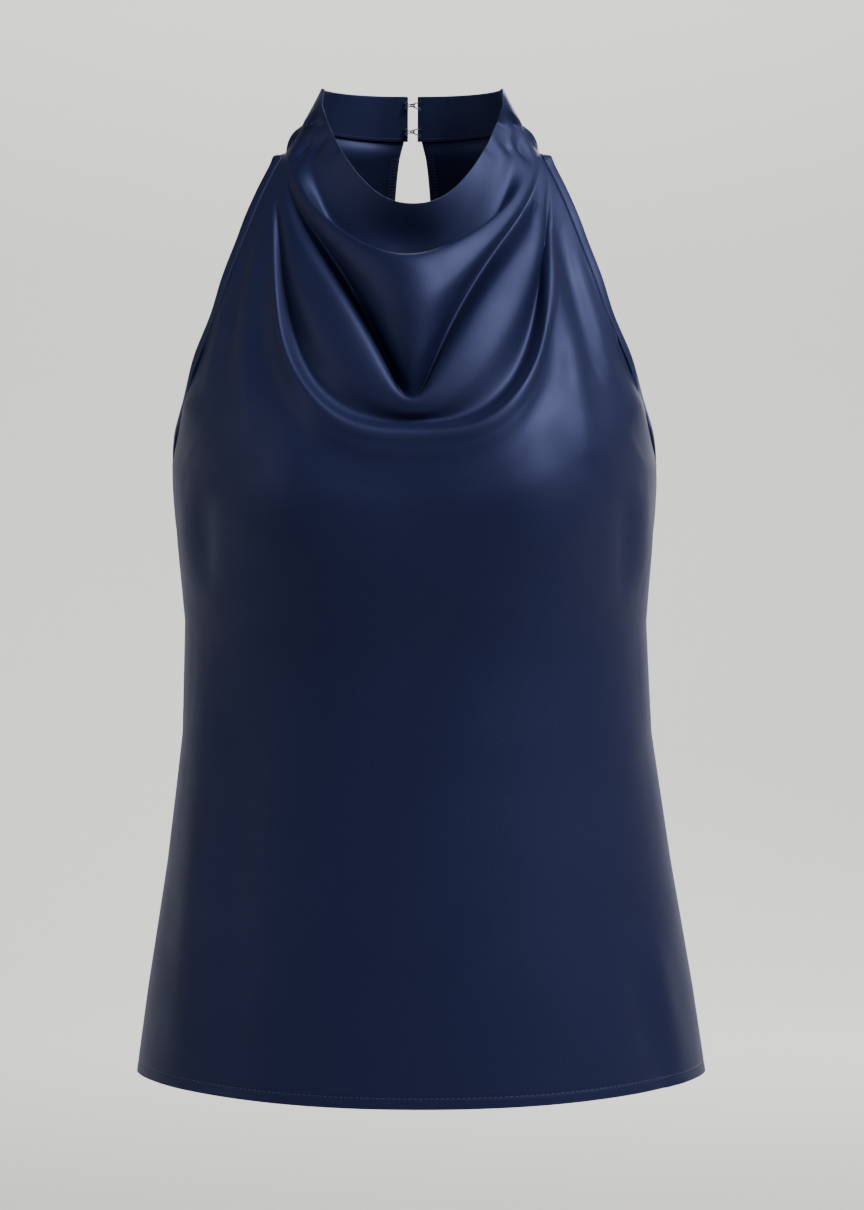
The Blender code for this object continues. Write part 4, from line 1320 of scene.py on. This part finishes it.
class HNT_OT_fasteners(bpy.types.Operator):
    """Hooks and eyes: enamelled wire, sewn on through their rings"""

    bl_idname = "high_neck_top.fasteners"
    bl_label = "Hooks and eyes"

    def execute(self, context):
        settings = settings_of(context)
        wire = enamelled_wire(settings)
        for node in ("hook_upper", "hook_lower", "eye_upper", "eye_lower"):
            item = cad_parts[node]
            item.data.materials.clear()
            item.data.materials.append(wire)
            low, high = (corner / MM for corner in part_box(node))
            middle = (low + high) / 2
            hand = -1 if node.startswith("hook") else 1
            ring_x = (low.x if hand < 0 else high.x) - hand * RING_INSET
            pieces = []
            for end in (-1, 1):
                ring_z = middle.z + end * ((high.z - low.z) / 2 - RING_INSET)
                for turn in range(THREAD_TURNS):
                    centre = Vector((ring_x + hand * THREAD_RADIUS * (turn - 1), middle.y, ring_z))
                    deselect_all()
                    bpy.ops.mesh.primitive_torus_add(
                        major_radius=THREAD_RING * MM, minor_radius=THREAD_RADIUS * MM,
                        major_segments=16, minor_segments=6, location=centre * MM,
                        rotation=(math.radians(70 + 20 * turn), math.radians(30 * (turn - 1)), 0.0),
                    )
                    pieces.append(bpy.context.object)
            thread = join_pieces(pieces, node + "_thread")
            bpy.ops.object.transform_apply(location=True, rotation=True, scale=True)
            thread.data.materials.clear()
            thread.data.materials.append(spun_thread(settings))
            bpy.ops.object.shade_smooth()
            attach(thread, "root")
        return {"FINISHED"}


class HNT_OT_stage(bpy.types.Operator):
    """Pale floor and backdrop, studio lights and the camera"""

    bl_idname = "high_neck_top.stage"
    bl_label = "Stage"

    def execute(self, context):
        settings = settings_of(context)
        deselect_all()
        bpy.ops.mesh.primitive_cylinder_add(
            vertices=96, radius=COVE_RADIUS, depth=COVE_HEIGHT, location=(0.0, 0.0, COVE_MIDDLE)
        )
        floor = bpy.context.object
        floor.name = floor.data.name = "studio_floor"
        bpy.ops.object.transform_apply(location=True)
        bpy.ops.object.mode_set(mode="EDIT")
        bpy.ops.mesh.select_all(action="DESELECT")
        bpy.ops.object.mode_set(mode="OBJECT")
        for face in floor.data.polygons:
            face.select = face.normal.z > 0.9
        bpy.ops.object.mode_set(mode="EDIT")
        bpy.ops.mesh.select_mode(type="FACE")
        bpy.ops.mesh.delete(type="FACE")
        bpy.ops.mesh.select_mode(type="EDGE")
        bpy.ops.object.mode_set(mode="OBJECT")
        for edge in floor.data.edges:
            edge.select = all(floor.data.vertices[v].co.z < 0 for v in edge.vertices)
        bpy.ops.object.mode_set(mode="EDIT")
        bpy.ops.mesh.bevel(offset=COVE_ROUND, segments=12)
        bpy.ops.mesh.select_all(action="SELECT")
        bpy.ops.mesh.flip_normals()
        bpy.ops.object.mode_set(mode="OBJECT")
        bpy.ops.object.shade_smooth()
        paper = new_material("matt_studio_paper")
        shader = add_node(paper, "ShaderNodeBsdfPrincipled", Roughness=0.9)
        shader.inputs["Base Color"].default_value = (*settings.floor_colour, 1.0)
        add_node(paper, "ShaderNodeOutputMaterial", [("Surface", shader, "BSDF")])
        floor.data.materials.append(paper)
        lights = (
            Light("key_softbox", (1.5, -1.0, 1.75), 1.0, settings.key_power, MIDDLE),
            Light("fill_softbox", (-2.0, -0.9, 0.6), 1.2, settings.fill_power, MIDDLE),
            Light("back_softbox", (1.4, 3.3, 0.9), 1.2, 55.0, MIDDLE),
            Light("backdrop_light", (0.0, 2.7, 2.4), 1.8, 230.0, (0.0, 4.6, -0.2)),
        )
        for light in lights:
            lamp = bpy.data.lights.new(light.name, "AREA")
            lamp.energy = light.power
            lamp.size = light.size
            item = bpy.data.objects.new(light.name, lamp)
            item.location = light.place
            aim = Vector(light.target) - Vector(light.place)
            item.rotation_euler = aim.to_track_quat("-Z", "Y").to_euler()
            context.scene.collection.objects.link(item)
        world = context.scene.world or bpy.data.worlds.new("studio_air")
        context.scene.world = world
        world.use_nodes = True
        air = world.node_tree.nodes["Background"]
        air.inputs["Color"].default_value = (0.9, 0.94, 1.0, 1.0)
        air.inputs["Strength"].default_value = 0.04
        camera = bpy.data.cameras.new("front_camera")
        camera.sensor_fit = "VERTICAL"
        camera.sensor_height = SENSOR_HEIGHT
        camera.lens = SENSOR_HEIGHT * CAMERA_DISTANCE / (PICTURE_HEIGHT * PICTURE_PIXEL * MM)
        item = bpy.data.objects.new("front_camera", camera)
        aside = PICTURE_ASIDE * PICTURE_PIXEL * MM
        item.location = (aside, -CAMERA_DISTANCE, -CAMERA_DROP * MM)
        item.rotation_euler = (math.pi / 2, 0.0, 0.0)
        context.scene.collection.objects.link(item)
        context.scene.camera = item
        return {"FINISHED"}


class HNT_PT_panel(bpy.types.Panel):
    """The top's pieces and settings in the 3D view's sidebar"""

    bl_idname = "HNT_PT_panel"
    bl_label = "High Neck Top"
    bl_space_type = "VIEW_3D"
    bl_region_type = "UI"
    bl_category = "High Neck Top"

    def draw(self, context):
        settings = settings_of(context)
        for name in settings.bl_rna.properties.keys():
            if name not in ("rna_type", "name"):
                self.layout.prop(settings, name)
        for step in STEPS:
            self.layout.operator(step.bl_idname)


STEPS = (
    HNT_OT_front,
    HNT_OT_back,
    HNT_OT_band,
    HNT_OT_bindings,
    HNT_OT_stitching,
    HNT_OT_fasteners,
    HNT_OT_stage,
)
CLASSES = (HighNeckTopSettings, *STEPS, HNT_PT_panel)


def register():
    """Makes the settings, the pieces' operators and the panel known to Blender."""
    for item in CLASSES:
        bpy.utils.register_class(item)
    bpy.types.Scene.high_neck_top = PointerProperty(type=HighNeckTopSettings)


def unregister():
    """Takes back what register made."""
    del bpy.types.Scene.high_neck_top
    for item in reversed(CLASSES):
        bpy.utils.unregister_class(item)


def main():
    """Builds every piece and the stage."""
    register()
    bpy.ops.high_neck_top.front()
    bpy.ops.high_neck_top.back()
    bpy.ops.high_neck_top.band()
    bpy.ops.high_neck_top.bindings()
    bpy.ops.high_neck_top.stitching()
    bpy.ops.high_neck_top.fasteners()
    bpy.ops.high_neck_top.stage()


if __name__ == "__main__":
    main()
